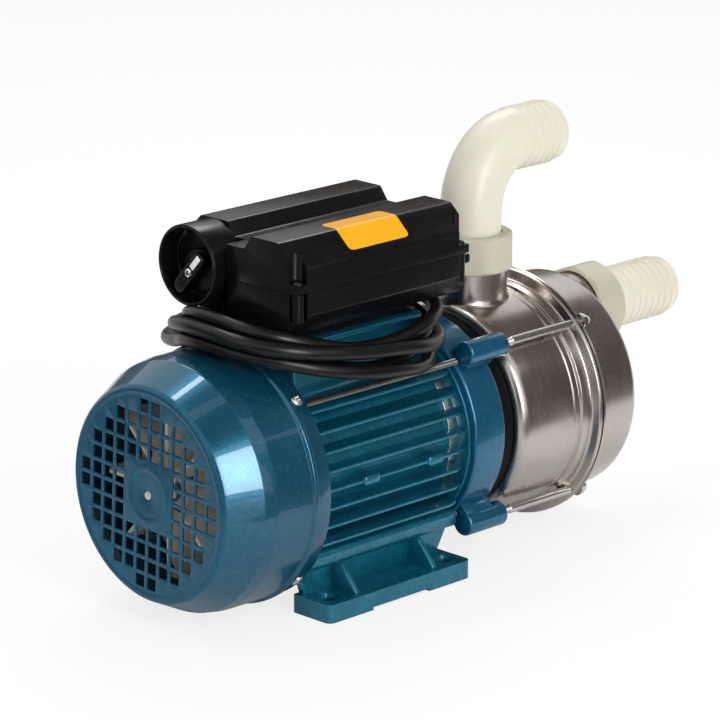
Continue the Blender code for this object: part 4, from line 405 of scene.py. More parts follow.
recipes = {
    "coverPaint": (paintFinish, (0.002, 0.074, 0.138), (0.0025, 0.088, 0.16), 0.30, 260.0, 0.04, -0.2051),
    "castPaint": (paintFinish, (0.0025, 0.125, 0.2), (0.005, 0.19, 0.285), 0.34, 420.0, 0.20),
    "shieldPaint": (paintFinish, (0.0025, 0.1, 0.2), (0.003, 0.122, 0.24), 0.32, 380.0, 0.12),
    "stainless": (metalFinish, (0.46, 0.42, 0.385), (0.55, 0.51, 0.475), 0.26, 1100.0, 700.0, 0.03),
    "polished": (metalFinish, (0.66, 0.64, 0.61), (0.74, 0.72, 0.69), 0.12, 700.0, 700.0, 0.03),
    "zincSteel": (metalFinish, (0.58, 0.57, 0.54), (0.68, 0.66, 0.62), 0.30, 60.0, 700.0, 0.02),
    "castAluminium": (metalFinish, (0.52, 0.52, 0.53), (0.66, 0.66, 0.67), 0.42, 300.0, 420.0, 0.30),
    "nylon": (plasticFinish, (0.66, 0.635, 0.52), (0.73, 0.705, 0.6), 0.36, 0.0, 240.0, 0.08, 0.4, 0.35),
    "nutNylon": (plasticFinish, (0.46, 0.44, 0.335), (0.53, 0.51, 0.405), 0.40, 0.0, 240.0, 0.08, 0.4, 0.2),
    "backPlastic": (plasticFinish, (0.002, 0.002, 0.0022), (0.0035, 0.0035, 0.0038),
                    0.6, 0.0, 500.0, 0.05, 0.12),
    "fanPlastic": (plasticFinish, (0.84, 0.79, 0.68), (0.88, 0.84, 0.74), 0.45, 0.05, 240.0, 0.08),
    "boxPlastic": (plasticFinish, (0.003, 0.003, 0.0036), (0.005, 0.005, 0.0056),
                   0.27, 0.0, 900.0, 0.06, 0.28),
    "cordRubber": (plasticFinish, (0.0028, 0.0028, 0.0028), (0.005, 0.005, 0.005),
                   0.34, 0.0, 500.0, 0.06, 0.32),
    "sealRubber": (plasticFinish, (0.01, 0.01, 0.01), (0.02, 0.02, 0.02), 0.55, 0.0, 600.0, 0.15),
    "copper": (metalFinish, (0.42, 0.14, 0.05), (0.55, 0.2, 0.08), 0.35, 900.0),
    "coreSteel": (metalFinish, (0.16, 0.16, 0.17), (0.24, 0.24, 0.25), 0.45, 1500.0),
    "darkSteel": (metalFinish, (0.2, 0.19, 0.18), (0.28, 0.27, 0.26), 0.36, 500.0),
    "blackedSteel": (metalFinish, (0.035, 0.035, 0.038), (0.055, 0.055, 0.058), 0.38, 500.0),
    "ceramic": (plasticFinish, (0.78, 0.77, 0.74), (0.84, 0.83, 0.8), 0.3, 0.1, 600.0, 0.03),
    "capacitorShell": (plasticFinish, (0.66, 0.66, 0.64), (0.74, 0.74, 0.72), 0.4, 0.0, 500.0, 0.05),
    "whiteInsert": (plasticFinish, (0.8, 0.8, 0.78), (0.86, 0.86, 0.84), 0.35, 0.1, 600.0, 0.04),
    "labelFilm": (plasticFinish, (0.78, 0.36, 0.004), (0.82, 0.4, 0.006), 0.35, 0.0, 300.0, 0.03, 0.3),
    "bareBrass": (metalFinish, (0.62, 0.45, 0.2), (0.72, 0.54, 0.26), 0.25, 600.0),
}
finish = {name: make(name, *rest) for name, (make, *rest) in recipes.items()}
print("finishes made:", len(finish))


# shape helpers
def newObject(name, mesh):
    obj = bpy.data.objects.new(name, mesh)
    bpy.context.scene.collection.objects.link(obj)
    return obj


def meshFrom(name, points, faces, smooth=32.0, inMotorFrame=True):
    mesh = bpy.data.meshes.new(name)
    mesh.from_pydata([world(*p) if inMotorFrame else Vector(p) for p in points], [], faces)
    mesh.validate()
    work = bmesh.new()
    work.from_mesh(mesh)
    bmesh.ops.remove_doubles(work, verts=work.verts, dist=1e-6)
    bmesh.ops.recalc_face_normals(work, faces=work.faces)
    work.to_mesh(mesh)
    work.free()
    shadeMesh(mesh, smooth)
    return mesh


def shadeMesh(mesh, angle):
    mesh.shade_smooth()
    mesh.set_sharp_from_angle(angle=math.radians(angle))


def piece(name, points, faces, smooth=32.0):
    return newObject(name, meshFrom(name, points, faces, smooth))


def softened(points, radius, steps=4, closed=True):
    # a polyline whose corners are rounded; radius is one number or one for each point
    count = len(points)
    radii = radius if isinstance(radius, (list, tuple)) else [radius] * count
    out = []
    for k, point in enumerate(points):
        if not closed and k in (0, count - 1) or radii[k] <= 0:
            out.append(tuple(point))
            continue
        here = Vector(point)
        before, after = Vector(points[k - 1]), Vector(points[(k + 1) % count])
        toBefore, toAfter = before - here, after - here
        if toBefore.length < 1e-6 or toAfter.length < 1e-6:
            out.append(tuple(point))
            continue
        between = toBefore.angle(toAfter)
        if between > math.radians(176):
            out.append(tuple(point))
            continue
        reach = min(radii[k] / math.tan(between / 2), toBefore.length * 0.48, toAfter.length * 0.48)
        start = here + toBefore.normalized() * reach
        end = here + toAfter.normalized() * reach
        for j in range(steps + 1):
            t = j / steps
            out.append(tuple(start * (1 - t) ** 2 + here * 2 * t * (1 - t) + end * t ** 2))
    return out


def rounded(line, radius, steps=4, closed=True):
    # the same for a flat line of pairs
    return [(p[0], p[1]) for p in softened([(a, b, 0) for a, b in line], radius, steps, closed)]


def ringFaces(steps, count, closed=True):
    # faces between equal rows of points, the last row joined to the first
    faces = []
    for k in range(steps):
        n = (k + 1) % steps
        for j in range(count if closed else count - 1):
            m = (j + 1) % count
            faces.append((k * count + j, n * count + j, n * count + m, k * count + m))
    return faces


def onAxis(axis, centre, station, radius, angle):
    u, v = radius * math.cos(angle), radius * math.sin(angle)
    if axis == "x":
        return (station, centre[0] + u, centre[1] + v)
    return (centre[0] + u, centre[1] + v, station)


def lathe(profile, steps=96, axis="x", centre=(0.0, 0.0), closed=True):
    # a turned shape; the profile is (station, radius) and centre is the axis' other two places
    points = [onAxis(axis, centre, station, radius, 2 * math.pi * k / steps) for k in range(steps)
              for station, radius in profile]
    return points, ringFaces(steps, len(profile), closed)


def capped(base, top):
    # two equal outlines closed at both ends
    count = len(base)
    faces = [tuple(range(count)), tuple(range(2 * count - 1, count - 1, -1))]
    faces += [(k, (k + 1) % count, count + (k + 1) % count, count + k) for k in range(count)]
    return base + top, faces


def prism(outline, low, high):
    # an outline of (y, z) carried along x
    return capped([(low, y, z) for y, z in outline], [(high, y, z) for y, z in outline])


def solidFrom(base, shift):
    # a flat outline of points carried along a vector
    return capped([tuple(p) for p in base], [tuple(Vector(p) + Vector(shift)) for p in base])


def block(low, high):
    (x0, y0, z0), (x1, y1, z1) = low, high
    return prism([(y0, z0), (y1, z0), (y1, z1), (y0, z1)], x0, x1)


def joined(*shapes):
    points, faces = [], []
    for morePoints, moreFaces in shapes:
        base = len(points)
        points += morePoints
        faces += [tuple(base + v for v in face) for face in moreFaces]
    return points, faces


def bevelled(obj, width, segments=3, angle=30.0):
    edge = obj.modifiers.new("softEdges", "BEVEL")
    edge.width = width / 1000
    edge.segments = segments
    edge.limit_method = "ANGLE"
    edge.angle_limit = math.radians(angle)
    edge.harden_normals = False
    return obj


def settled(obj, smooth=32.0):
    # every modifier made part of the mesh
    bpy.context.view_layer.update()
    graph = bpy.context.evaluated_depsgraph_get()
    mesh = bpy.data.meshes.new_from_object(obj.evaluated_get(graph))
    obj.modifiers.clear()
    old = obj.data
    obj.data = mesh
    mesh.name = old.name
    shadeMesh(mesh, smooth)
    return obj


def carve(obj, cutter, operation="DIFFERENCE"):
    step = obj.modifiers.new("carve", "BOOLEAN")
    step.operation = operation
    step.solver = "EXACT"
    step.object = cutter
    settled(obj)
    bpy.data.objects.remove(cutter)
    return obj


def drill(obj, name, low, high, radius, spot, axis="z", steps=40):
    return carve(obj, piece(name, *lathe([(low, 0.0), (low, radius), (high, radius), (high, 0.0)], steps,
                                         axis, spot, closed=False)))


def softBlock(name, low, high, width, segments=3, smooth=40.0):
    return settled(bevelled(piece(name, *block(low, high)), width, segments), smooth)


def dress(obj, body, finishName, replaced=()):
    if finishName:
        obj.data.materials.clear()
        obj.data.materials.append(finish[finishName])
    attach(obj, body)
    if replaced:
        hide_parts(*replaced)
    return obj


# copies placed by geometry nodes: screws, nuts, rods and blades
def newTree(name, *inputs):
    # a geometry tree with its named inputs: (label, kind, default)
    tree = bpy.data.node_groups.new(name, "GeometryNodeTree")
    for label, kind, *value in (("Geometry", "Geometry"), *inputs):
        socket = tree.interface.new_socket(name=label, in_out="INPUT", socket_type="NodeSocket" + kind)
        if value:
            socket.default_value = value[0]
    tree.interface.new_socket(name="Geometry", in_out="OUTPUT", socket_type="NodeSocketGeometry")
    return tree, tree.nodes.new("NodeGroupInput").outputs, tree.nodes.new("NodeGroupOutput")


def closeTree(tree, given, out, geometry):
    real = newNode(tree, "GeometryNodeRealizeInstances", [("Geometry", geometry)])
    paint = newNode(tree, "GeometryNodeSetMaterial",
                    [("Geometry", real.outputs["Geometry"]), ("Material", given["Finish"])])
    link(tree, paint.outputs["Geometry"], out.inputs["Geometry"])
    return tree


def runTree(obj, tree, smooth, inputs):
    # the tree's inputs are set by socket before the first evaluation, then the result is made the mesh
    step = obj.modifiers.new(tree.name, "NODES")
    step.node_group = tree
    for item in tree.interface.items_tree:
        if item.item_type == "SOCKET" and item.in_out == "INPUT" and item.name in inputs:
            step[item.identifier] = inputs[item.name]
    return settled(obj, smooth)


def copiesTree():
    # one copy of a pattern at each given point, turned by the point's own attribute
    tree, given, out = newTree("placedCopies", ("Pattern", "Object"), ("Size", "Float", 1.0),
                               ("Finish", "Material"))
    points = newNode(tree, "GeometryNodeMeshToPoints", [("Mesh", given["Geometry"])])
    info = newNode(tree, "GeometryNodeObjectInfo", [("Object", given["Pattern"])])
    turn = newNode(tree, "GeometryNodeInputNamedAttribute", data_type="FLOAT_VECTOR")
    turn.inputs["Name"].default_value = "turn"
    spread = newNode(tree, "GeometryNodeInstanceOnPoints",
                     [("Points", points.outputs["Points"]), ("Instance", info.outputs["Geometry"]),
                      ("Rotation", turn.outputs["Attribute"]), ("Scale", given["Size"])])
    return closeTree(tree, given, out, spread.outputs["Instances"])


placedCopies = copiesTree()


def placeCopies(name, pattern, places, turns, finishName, smooth=32.0):
    mesh = bpy.data.meshes.new(name)
    mesh.from_pydata([world(*p) for p in places], [], [])
    turn = mesh.attributes.new("turn", "FLOAT_VECTOR", "POINT")
    for item, value in zip(turn.data, turns):
        item.vector = value
    obj = newObject(name, mesh)
    runTree(obj, placedCopies, smooth, {"Pattern": pattern, "Size": 1.0, "Finish": finish[finishName]})
    bpy.data.objects.remove(pattern)
    return obj


def patternObject(name, points, faces, smooth=32.0):
    # a pattern drawn about its own origin, its axis along x
    mm = [(x / 1000, y / 1000, z / 1000) for x, y, z in points]
    return newObject(name, meshFrom(name, mm, faces, smooth, inMotorFrame=False))


diagonals = [math.radians(45 + 90 * k) for k in range(4)]
square = [(a, 0, 0) for a in diagonals]
still = [(0, 0, 0)] * 4


def onRing(radius, x):
    # the four places on a bolt circle
    return [(x, radius * math.cos(a), radius * math.sin(a)) for a in diagonals]


def evenly(count):
    return [(2 * math.pi * k / count, 0, 0) for k in range(count)]


def numbered(name):
    return tuple(f"{name}_{n}" for n in (1, 2, 3, 4))


def hexagon(radius):
    return [(radius * math.cos(math.radians(60 * n)), radius * math.sin(math.radians(60 * n)))
            for n in range(6)]


def aimed(direction):
    # euler angles that turn +x towards a direction
    return tuple(Vector((1, 0, 0)).rotation_difference(Vector(direction)).to_euler())


def arcOf(middle, radii, first, last, steps):
    # points of an arc in (station, radius) pairs, angles in degrees from the +station direction
    out = []
    for k in range(steps + 1):
        a = math.radians(first + (last - first) * k / steps)
        out.append((middle[0] + radii[0] * math.cos(a), middle[1] + radii[1] * math.sin(a)))
    return out


def sheetOf(line, thickness):
    # a turned sheet: the line of its outer side, then the same line moved in by the thickness
    inner = []
    for k, point in enumerate(line):
        before = Vector(line[max(k - 1, 0)])
        after = Vector(line[min(k + 1, len(line) - 1)])
        run = (after - before).normalized()
        inner.append((point[0] - run.y * thickness, point[1] + run.x * thickness))
    return list(line) + inner[::-1]


def pipe(path, outer, inner, steps=48):
    # a hollow tube along a path: one outer and one inner radius for each of its points
    outside, inside = [], []
    side = None
    for k, point in enumerate(path):
        before, after = Vector(path[max(k - 1, 0)]), Vector(path[min(k + 1, len(path) - 1)])
        run = (after - before).normalized()
        if side is None:
            side = Vector((0, 1, 0)) if abs(run.y) < 0.9 else Vector((1, 0, 0))
        side = (side - run * side.dot(run)).normalized()
        up = run.cross(side)
        for radius, chain in ((outer[k], outside), (inner[k], inside)):
            angles = [2 * math.pi * j / steps for j in range(steps)]
            chain.append([tuple(Vector(point) + side * radius * math.cos(a) + up * radius * math.sin(a))
                          for a in angles])
    loops = outside + inside[::-1]
    points = [p for ring in loops for p in ring]
    faces = []
    for k in range(len(loops)):
        n = (k + 1) % len(loops)
        for j in range(steps):
            m = (j + 1) % steps
            faces.append((k * steps + j, k * steps + m, n * steps + m, n * steps + j))
    return points, faces


def united(name, *objects):
    # several objects in the motor's frame made one piece
    work = bmesh.new()
    for obj in objects:
        work.from_mesh(obj.data)
        bpy.data.objects.remove(obj)
    mesh = bpy.data.meshes.new(name)
    work.to_mesh(mesh)
    work.free()
    shadeMesh(mesh, 32.0)
    return newObject(name, mesh)


def screwPattern(name, head, height, shank, length, recess):
    # pan head with a crossed recess, +x outwards and its seat at the origin
    profile = [(-length, 0.0), (-length, shank), (0.0, shank), (0.0, head * 0.94), (height * 0.08, head),
               (height * 0.4, head * 0.97), (height * 0.75, head * 0.78), (height * 0.95, head * 0.45),
               (height, 0.0)]
    screw = patternObject(name, *lathe(profile, 28, closed=False), smooth=40.0)
    depth = height * 0.55
    for number, (across, along) in enumerate(((recess * 0.28, recess), (recess, recess * 0.28))):
        bar = block((height - depth, -across / 2, -along / 2), (height + depth, across / 2, along / 2))
        carve(screw, patternObject(f"{name}Recess{number}", *bar))
    return screw


# cord: one curve from the gland, round the pedestal nearly four times, and down to the plug
coilSizes = {"start": 36.0, "middle": 119.0, "end": 184.0, "halfWidth": 60.0, "squareness": 2.5, "lean": 3.0,
             "heights": (68.5, 66.0, 65.0, 73.0, 82.6, 76.8, 64.0, 64.5),
             "halfHeights": (13.6, 12.0, 12.0, 11.0, 11.2, 9.2, 12.0, 16.6),
             "halfThicknesses": (6.0, 7.0, 10.0, 10.0, 10.0, 11.5, 10.0, 6.8),
             "across": (5.0, 6.0, 6.1, 6.0, 6.4, 7.0, 6.2, 3.7),
             "upright": (9.6, 8.0, 8.4, 7.4, 7.4, 6.4, 8.4, 12.8), "raise": 1.0, "shift": 1.5,
             "tuck": (135.0, 50.0, 12.0), "pairs": (262.0, 28.0, 45.0), "even": (142.0, 30.0, -12.0)}
cordSizes = {"radius": 4.0, "exit": (213.4, 25.0, 97.0), "straight": 5.0, "loop": 34.0,
             "loopAngles": (-60, -25, 10, 45, 80, 110), "meets": 80.0, "leaves": 70.0, "turns": 4,
             "tailBend": 32.0, "nestle": 0.3, "section": 255.0, "sectionTurn": 326.0}
plugSizes = {"radius": 18.5, "body": 34.0, "neck": 18.0, "neckRadius": 6.5, "pin": 2.4, "pinLength": 19.0,
             "pinSpacing": 19.0, "gap": 0.6, "finTip": 56.8, "finLug": 1.8}


def through(before, start, end, after, share):
    return 0.5 * (2 * start + (end - before) * share + (2 * before - 5 * start + 4 * end - after) * share ** 2
                  + (3 * start - before - 3 * end + after) * share ** 3)


def roundCoil(values, turn):
    share = turn / 360 * len(values)
    k = math.floor(share)
    near = [values[(k + step) % len(values)] for step in (-1, 0, 1, 2)]
    return through(*near, share - k)


def coilState(turn, sizes=coilSizes):
    # centre, outward direction, half thickness, half height and lean of the winding at a turn in degrees
    along, across = math.cos(math.radians(turn)), math.sin(math.radians(turn))
    reach = (sizes["end"] if along > 0 else sizes["start"]) - sizes["middle"]
    power = 2 / sizes["squareness"]
    centre = Vector((sizes["middle"] + reach * abs(along) ** power,
                     math.copysign(sizes["halfWidth"] * abs(across) ** power, across),
                     roundCoil(sizes["heights"], turn)))
    outward = Vector((abs(along) ** (2 - power) / reach,
                      math.copysign(abs(across) ** (2 - power) / sizes["halfWidth"], across), 0)).normalized()
    lean = sizes["lean"] * max(0.0, along) ** 2
    return (centre, outward, roundCoil(sizes["halfThicknesses"], turn), roundCoil(sizes["halfHeights"], turn),
            lean)


def besideCoil(turn, lift, lean):
    centre, outward, thickness, height, tilt = coilState(turn)
    away = (outward * math.cos(lift) + Vector((0, 0, math.sin(lift)))).normalized()
    skin = (centre + outward * (thickness * math.cos(lift) + tilt * math.sin(lift))
            + Vector((0, 0, height * math.sin(lift))))
    return skin + away * (cordSizes["radius"] * math.cos(lean) - cordSizes["nestle"])


def swell(turn, place):
    # a smooth rise and fall round one turn angle: (angle, width, height)
    return place[2] * math.exp(-((turn % 360 - place[0]) / place[1]) ** 2)


def strandPoint(turn, degrees):
    # one strand: the angle says where in the winding's section, and strands lie in pairs at the near side
    centre, outward, _, height, tilt = coilState(turn)
    across, upright = roundCoil(coilSizes["across"], turn), roundCoil(coilSizes["upright"], turn)
    along = max(0.0, math.cos(math.radians(turn)))
    a = math.radians(degrees + swell(turn, coilSizes["pairs"]) + swell(turn, coilSizes["even"]))
    out = swell(turn, (45.0, 22.0, coilSizes["shift"])) - swell(turn, coilSizes["tuck"])
    point = centre + outward * (across * math.cos(a) + tilt * math.sin(a) * upright / height + out)
    return point + Vector((0, 0, upright * math.sin(a) + coilSizes["raise"] * along ** 3))


def eased(share):
    share = min(max(share, 0.0), 1.0)
    return share * share * (3 - 2 * share)


def cordRoute(sizes=cordSizes):
    # centre line in millimetres: the lead, the winding, then the tail
    meets, loop, tailBend = pick(sizes, "meets loop tailBend")
    radius = sizes["radius"]
    leadEnd = besideCoil(meets, math.radians(10), math.radians(20))
    out = Vector(sizes["exit"])
    first = out + Vector((sizes["straight"], 0, 0))
    middle = first + Vector((0, loop, 0))
    route = [out, first]
    for k, degrees in enumerate(sizes["loopAngles"], 1):
        a = math.radians(degrees)
        drop = (out.z - leadEnd.z) * 0.6 * (k / len(sizes["loopAngles"])) ** 1.6
        route.append(middle + Vector((loop * math.cos(a), loop * math.sin(a), -drop)))
    route.append(route[-1].lerp(leadEnd, 0.45) + Vector((0, radius * 0.6, 0)))
    route.append(leadEnd)

    tailStart = besideCoil(sizes["leaves"], math.radians(-35), math.radians(20))
    last = sizes["leaves"] + 360 * sizes["turns"]
    step = 15
    turn = meets + step
    while turn <= last - step:
        inside = strandPoint(turn, sizes["section"] - (turn - sizes["sectionTurn"]) / 4)
        point = inside
        start = besideCoil(turn, math.radians(10), math.radians(20))
        if turn < meets + 90:
            point = start.lerp(inside, eased((turn - meets - 10) / 75))
            point.z = start.z + (inside.z - start.z) * eased((turn - meets + 5) / 40)
        if turn > last - 75:
            point = inside.lerp(besideCoil(turn, math.radians(-35), math.radians(20)),
                                eased((turn - last + 75) / 75))
        route.append(point)
        turn += step
    route.append(tailStart)

    top = plugTop()
    end = top + Vector((0, 0, plugSizes["gap"]))
    bend = Vector((end.x + tailBend, 0, end.z + radius))
    for k in range(4):
        a = math.radians(90 + 30 * k)
        across = tailStart.y + (end.y - tailStart.y) * (1 - (1 - (k + 1) / 4) ** 2)
        route.append(Vector((bend.x + tailBend * math.cos(a), across, bend.z + tailBend * math.sin(a))))
    route.append(end)
    return route


def plugTop(sizes=plugSizes):
    start = besideCoil(cordSizes["leaves"], math.radians(-35), math.radians(20))
    across = max(start.y, sizes["finTip"] + sizes["finLug"] + sizes["radius"]) + sizes["gap"]
    return Vector((start.x - 1.5 * cordSizes["tailBend"], across,
                   start.z - cordSizes["tailBend"] - 2 * cordSizes["radius"]))


def makeCord(sizes=cordSizes):
    route = cordRoute(sizes)
    data = bpy.data.curves.new("powerCord", "CURVE")
    data.dimensions = "3D"
    data.bevel_depth = sizes["radius"] / 1000
    data.bevel_resolution = 6
    data.resolution_u = 8
    data.use_fill_caps = True
    spline = data.splines.new("BEZIER")
    spline.bezier_points.add(len(route) - 1)
    for item, point in zip(spline.bezier_points, route):
        item.co = world(*point)
        item.handle_left_type = item.handle_right_type = "AUTO"
    cord = bpy.data.objects.new("powerCord", data)
    bpy.context.scene.collection.objects.link(cord)
    data.materials.append(finish["cordRubber"])
    ends = spline.bezier_points
    for item, ahead, back, on in ((ends[0], (1, 0, 0), 1.6, 1.6), (ends[1], (1, 0, 0), 1.6, 6.0),
                                  (ends[-2], (0, 0, -1), 6.0, 1.3), (ends[-1], (0, 0, -1), 1.3, 1.3)):
        item.handle_left_type = item.handle_right_type = "FREE"  # straight out of the gland and into the plug
        item.handle_left = item.co - Vector(ahead) * back / 1000
        item.handle_right = item.co + Vector(ahead) * on / 1000
    length = spline.calc_length(resolution=64)
    return cord, length


powerCord, cordLength = makeCord()
dress(powerCord, "pump", None, ("power_cord", "cord_coil", "cord_tail"))
print("cord:", round(cordLength, 4), "m")


def makePlug(sizes=plugSizes):
    neckRadius, pin = pick(sizes, "neckRadius pin")
    top = plugTop()
    face = -sizes["neck"] - sizes["body"]
    neck = [(0.0, neckRadius - 1.6)]
    for k in range(5):  # flexing rings of the sleeve
        at = -2.0 - 3.2 * k
        neck += [(at, neckRadius - 1.2 + 0.22 * k), (at - 0.5, neckRadius - 2.0 + 0.22 * k),
                 (at - 1.3, neckRadius - 2.0 + 0.22 * k), (at - 1.8, neckRadius - 1.1 + 0.22 * k)]
    body = [(-sizes["neck"], neckRadius), (-sizes["neck"] - 3.0, sizes["radius"] * 0.56),
            (-sizes["neck"] - sizes["body"] * 0.3, sizes["radius"] * 0.82),
            (face + sizes["body"] * 0.42, sizes["radius"]), (face, sizes["radius"])]
    profile = [(0.0, 0.0)] + neck + rounded(body, 1.4, closed=False) + [(face, 0.0)]
    shell = [(station + top.z, radius) for station, radius in profile]
    plug = piece("plugBody", *lathe(shell, 64, "z", (top.x, top.y), closed=False))
    dress(plug, "pump", "cordRubber", ("plug",))
    pins = []
    for side in (-1, 1):
        spot = (top.x + side * sizes["pinSpacing"] / 2, top.y)
        low = top.z + face - sizes["pinLength"]
        pinProfile = [(low, 0.0), (low, pin - 0.8), (low + 1.2, pin), (top.z + face, pin),
                      (top.z + face, 0.0)]
        pins.append(piece(f"pin{side}", *lathe(pinProfile, 24, "z", spot, closed=False)))
    made = united("plugPins", *pins)
    dress(made, "pump", "bareBrass", ())
    return plug, made


plugBody, plugPins = makePlug()


glandSizes = {"seat": 191.1, "y": 25.0, "z": 97.0, "collar": 7.0, "collarLength": 6.0, "length": 22.0,
              "bore": 4.2, "neck": 5.5, "tip": 5.1, "rings": 5}


def makeGland(sizes=glandSizes):
    seat, collar = sizes["seat"], sizes["seat"] + sizes["collarLength"]
    end = sizes["seat"] + sizes["length"]
    profile = [(seat, sizes["bore"]), (seat, sizes["collar"]), (collar - 0.8, sizes["collar"]),
               (collar, sizes["collar"] - 0.8)]
    pitch = (end - collar - 1.5) / sizes["rings"]
    for k in range(sizes["rings"]):  # slotted sleeve that bends with the cord
        wide = sizes["neck"] + 0.7 - (sizes["neck"] + 0.7 - sizes["tip"]) * k / sizes["rings"]
        at = collar + 0.6 + pitch * k
        profile += [(at, wide - 0.6), (at + 0.3, wide), (at + pitch * 0.55, wide),
                    (at + pitch * 0.7, wide - 0.6)]
    profile += [(end, sizes["tip"] - 0.3), (end, sizes["bore"])]
    gland = piece("cordGland", *lathe(profile, 48, "x", (sizes["y"], sizes["z"])))
    return dress(gland, "pump", "cordRubber", ("cord_gland",))


makeGland()
print("plug and gland made")


# fan cover: turned sheet, its grille punched by geometry nodes
coverSizes = {"length": 66.0, "radius": 70.6, "sheet": 1.0, "front": -1.2, "face": 59.6, "faceRound": 2.2,
              "cone": 20.3, "band": 9.0, "beadWidth": 3.2, "beadHeight": 1.5, "hubHole": 3.0, "ring": 15.0,
              "ringHeight": 0.7, "recess": 0.7, "pitch": 8.97, "hole": 6.85, "rows": 12, "blank": 4,
              "reach": 5.6, "turn": 3.3}


def grilleTree():
    # a field of square punches on a grid, left out past the reach and in the blank middle, cut from the sheet
    tree, given, out = newTree("punchedGrille", ("Rows", "Int", 12), ("Pitch", "Float", 0.009),
                               ("Hole", "Float", 0.0067), ("Depth", "Float", 0.006), ("Reach", "Float", 0.05),
                               ("Blank", "Float", 0.018), ("Turn", "Float", 0.0), ("Centre", "Vector"),
                               ("Finish", "Material"))
    span = mathNode(tree, "MULTIPLY", given["Pitch"], mathNode(tree, "SUBTRACT", given["Rows"], 1.0))
    grid = newNode(tree, "GeometryNodeMeshGrid",
                   [("Size X", span), ("Size Y", span), ("Vertices X", given["Rows"]),
                    ("Vertices Y", given["Rows"])])
    points = newNode(tree, "GeometryNodeMeshToPoints", [("Mesh", grid.outputs["Mesh"])])
    place = tree.nodes.new("GeometryNodeInputPosition").outputs[0]
    far = newNode(tree, "ShaderNodeVectorMath", [(0, place)], operation="LENGTH")
    split = newNode(tree, "ShaderNodeSeparateXYZ", [(0, place)])
    widest = mathNode(tree, "MAXIMUM", *(mathNode(tree, "ABSOLUTE", split.outputs[k]) for k in (0, 1)))
    beyond = mathNode(tree, "GREATER_THAN", far.outputs["Value"], given["Reach"])
    inBlank = mathNode(tree, "LESS_THAN", widest, given["Blank"])
    drop = newNode(tree, "GeometryNodeDeleteGeometry",
                   [("Geometry", points.outputs["Points"]),
                    ("Selection", mathNode(tree, "MAXIMUM", beyond, inBlank))], domain="POINT")
    punchSize = newNode(tree, "ShaderNodeCombineXYZ",
                        enumerate(given[label] for label in ("Hole", "Hole", "Depth")))
    punch = newNode(tree, "GeometryNodeMeshCube", [("Size", punchSize.outputs[0])])
    spread = newNode(tree, "GeometryNodeInstanceOnPoints",
                     [("Points", drop.outputs["Geometry"]), ("Instance", punch.outputs["Mesh"])])
    real = newNode(tree, "GeometryNodeRealizeInstances", [("Geometry", spread.outputs["Instances"])])
    # the field turns a little, then stands across the shaft
    angles = newNode(tree, "ShaderNodeCombineXYZ", [(2, given["Turn"])])
    spin = newNode(tree, "GeometryNodeTransform",
                   [("Geometry", real.outputs["Geometry"]), ("Rotation", angles.outputs[0])])
    lay = newNode(tree, "GeometryNodeTransform",
                  [("Geometry", spin.outputs["Geometry"]), ("Translation", given["Centre"])])
    lay.inputs["Rotation"].default_value = (0, math.pi / 2, 0)
    cutOut = newNode(tree, "GeometryNodeMeshBoolean", operation="DIFFERENCE", solver="EXACT")
    link(tree, given["Geometry"], cutOut.inputs["Mesh 1"])
    link(tree, lay.outputs["Geometry"], cutOut.inputs["Mesh 2"])
    return closeTree(tree, given, out, cutOut.outputs["Mesh"])


def makeFanCover(sizes=coverSizes):
    radius, face, ring = pick(sizes, "radius face ring")
    beadEnd = sizes["length"] - sizes["band"]
    beadStart = beadEnd - sizes["beadWidth"]
    front = sizes["front"]
    bead, deep = radius + sizes["beadHeight"], front + sizes["recess"]
    line = [(sizes["length"], radius), (beadEnd + 0.4, radius), (beadEnd - 0.8, bead), (beadStart, bead),
            (beadStart - 1.1, radius), (sizes["cone"] + 8.0, radius - 0.3), (sizes["cone"], radius - 1.6),
            (front + sizes["faceRound"], face), (front, face - sizes["faceRound"]), (deep, face - 5.0),
            (deep, ring + 2.4), (deep - sizes["ringHeight"], ring + 1.0),
            (deep - sizes["ringHeight"], ring - 1.0), (deep, ring - 2.4), (deep, sizes["hubHole"])]
    rounds = [0, 0.4, 1.4, 1.4, 0.4, 7.0, 4.0, 2.2, 2.6, 0.8, 0.6, 1.4, 1.4, 0.6, 0]
    line = rounded(line, rounds, 6, closed=False)
    cover = piece("fanCover", *lathe(sheetOf(line, sizes["sheet"]), 128), smooth=40.0)
    unit = sizes["pitch"] / 1000
    runTree(cover, grilleTree(), 40.0, {"Rows": sizes["rows"], "Pitch": unit, "Hole": sizes["hole"] / 1000,
                                        "Depth": 0.006, "Reach": sizes["reach"] * unit,
                                        "Blank": sizes["blank"] / 2 * unit,
                                        "Turn": math.radians(sizes["turn"]),
                                        "Centre": tuple(world(front, 0, 0)), "Finish": finish["coverPaint"]})
    settled(bevelled(cover, 0.22, 2, 60.0), 40.0)
    return dress(cover, "pump", "coverPaint", ("fan_cover",))


makeFanCover()


def makeCoverPlug():
    # pale plug that closes the hub hole
    line = rounded([(1.4, 0), (1.4, 2.5), (-0.7, 2.5), (-0.7, 0)], [0, 0, 0.5, 0], 4, closed=False)
    plug = piece("coverPlug", *lathe(line, 40, closed=False), smooth=40.0)
    return dress(plug, "pump", "castAluminium")


makeCoverPlug()

coverScrewSizes = {"station": 60.5, "seat": 70.7, "head": 3.5, "height": 2.1, "shank": 1.8, "length": 4.0,
                   "recess": 4.0}


def makeCoverScrews(sizes=coverScrewSizes):
    pattern = screwPattern("coverScrew", sizes["head"], sizes["height"], sizes["shank"], sizes["length"],
                           sizes["recess"])
    turns = [aimed((0, math.cos(a), math.sin(a))) for a in diagonals]
    screws = placeCopies("coverScrews", pattern, onRing(sizes["seat"], sizes["station"]), turns, "zincSteel")
    return dress(screws, "pump", None, numbered("fan_cover_screw"))


makeCoverScrews()
print("fan cover made")


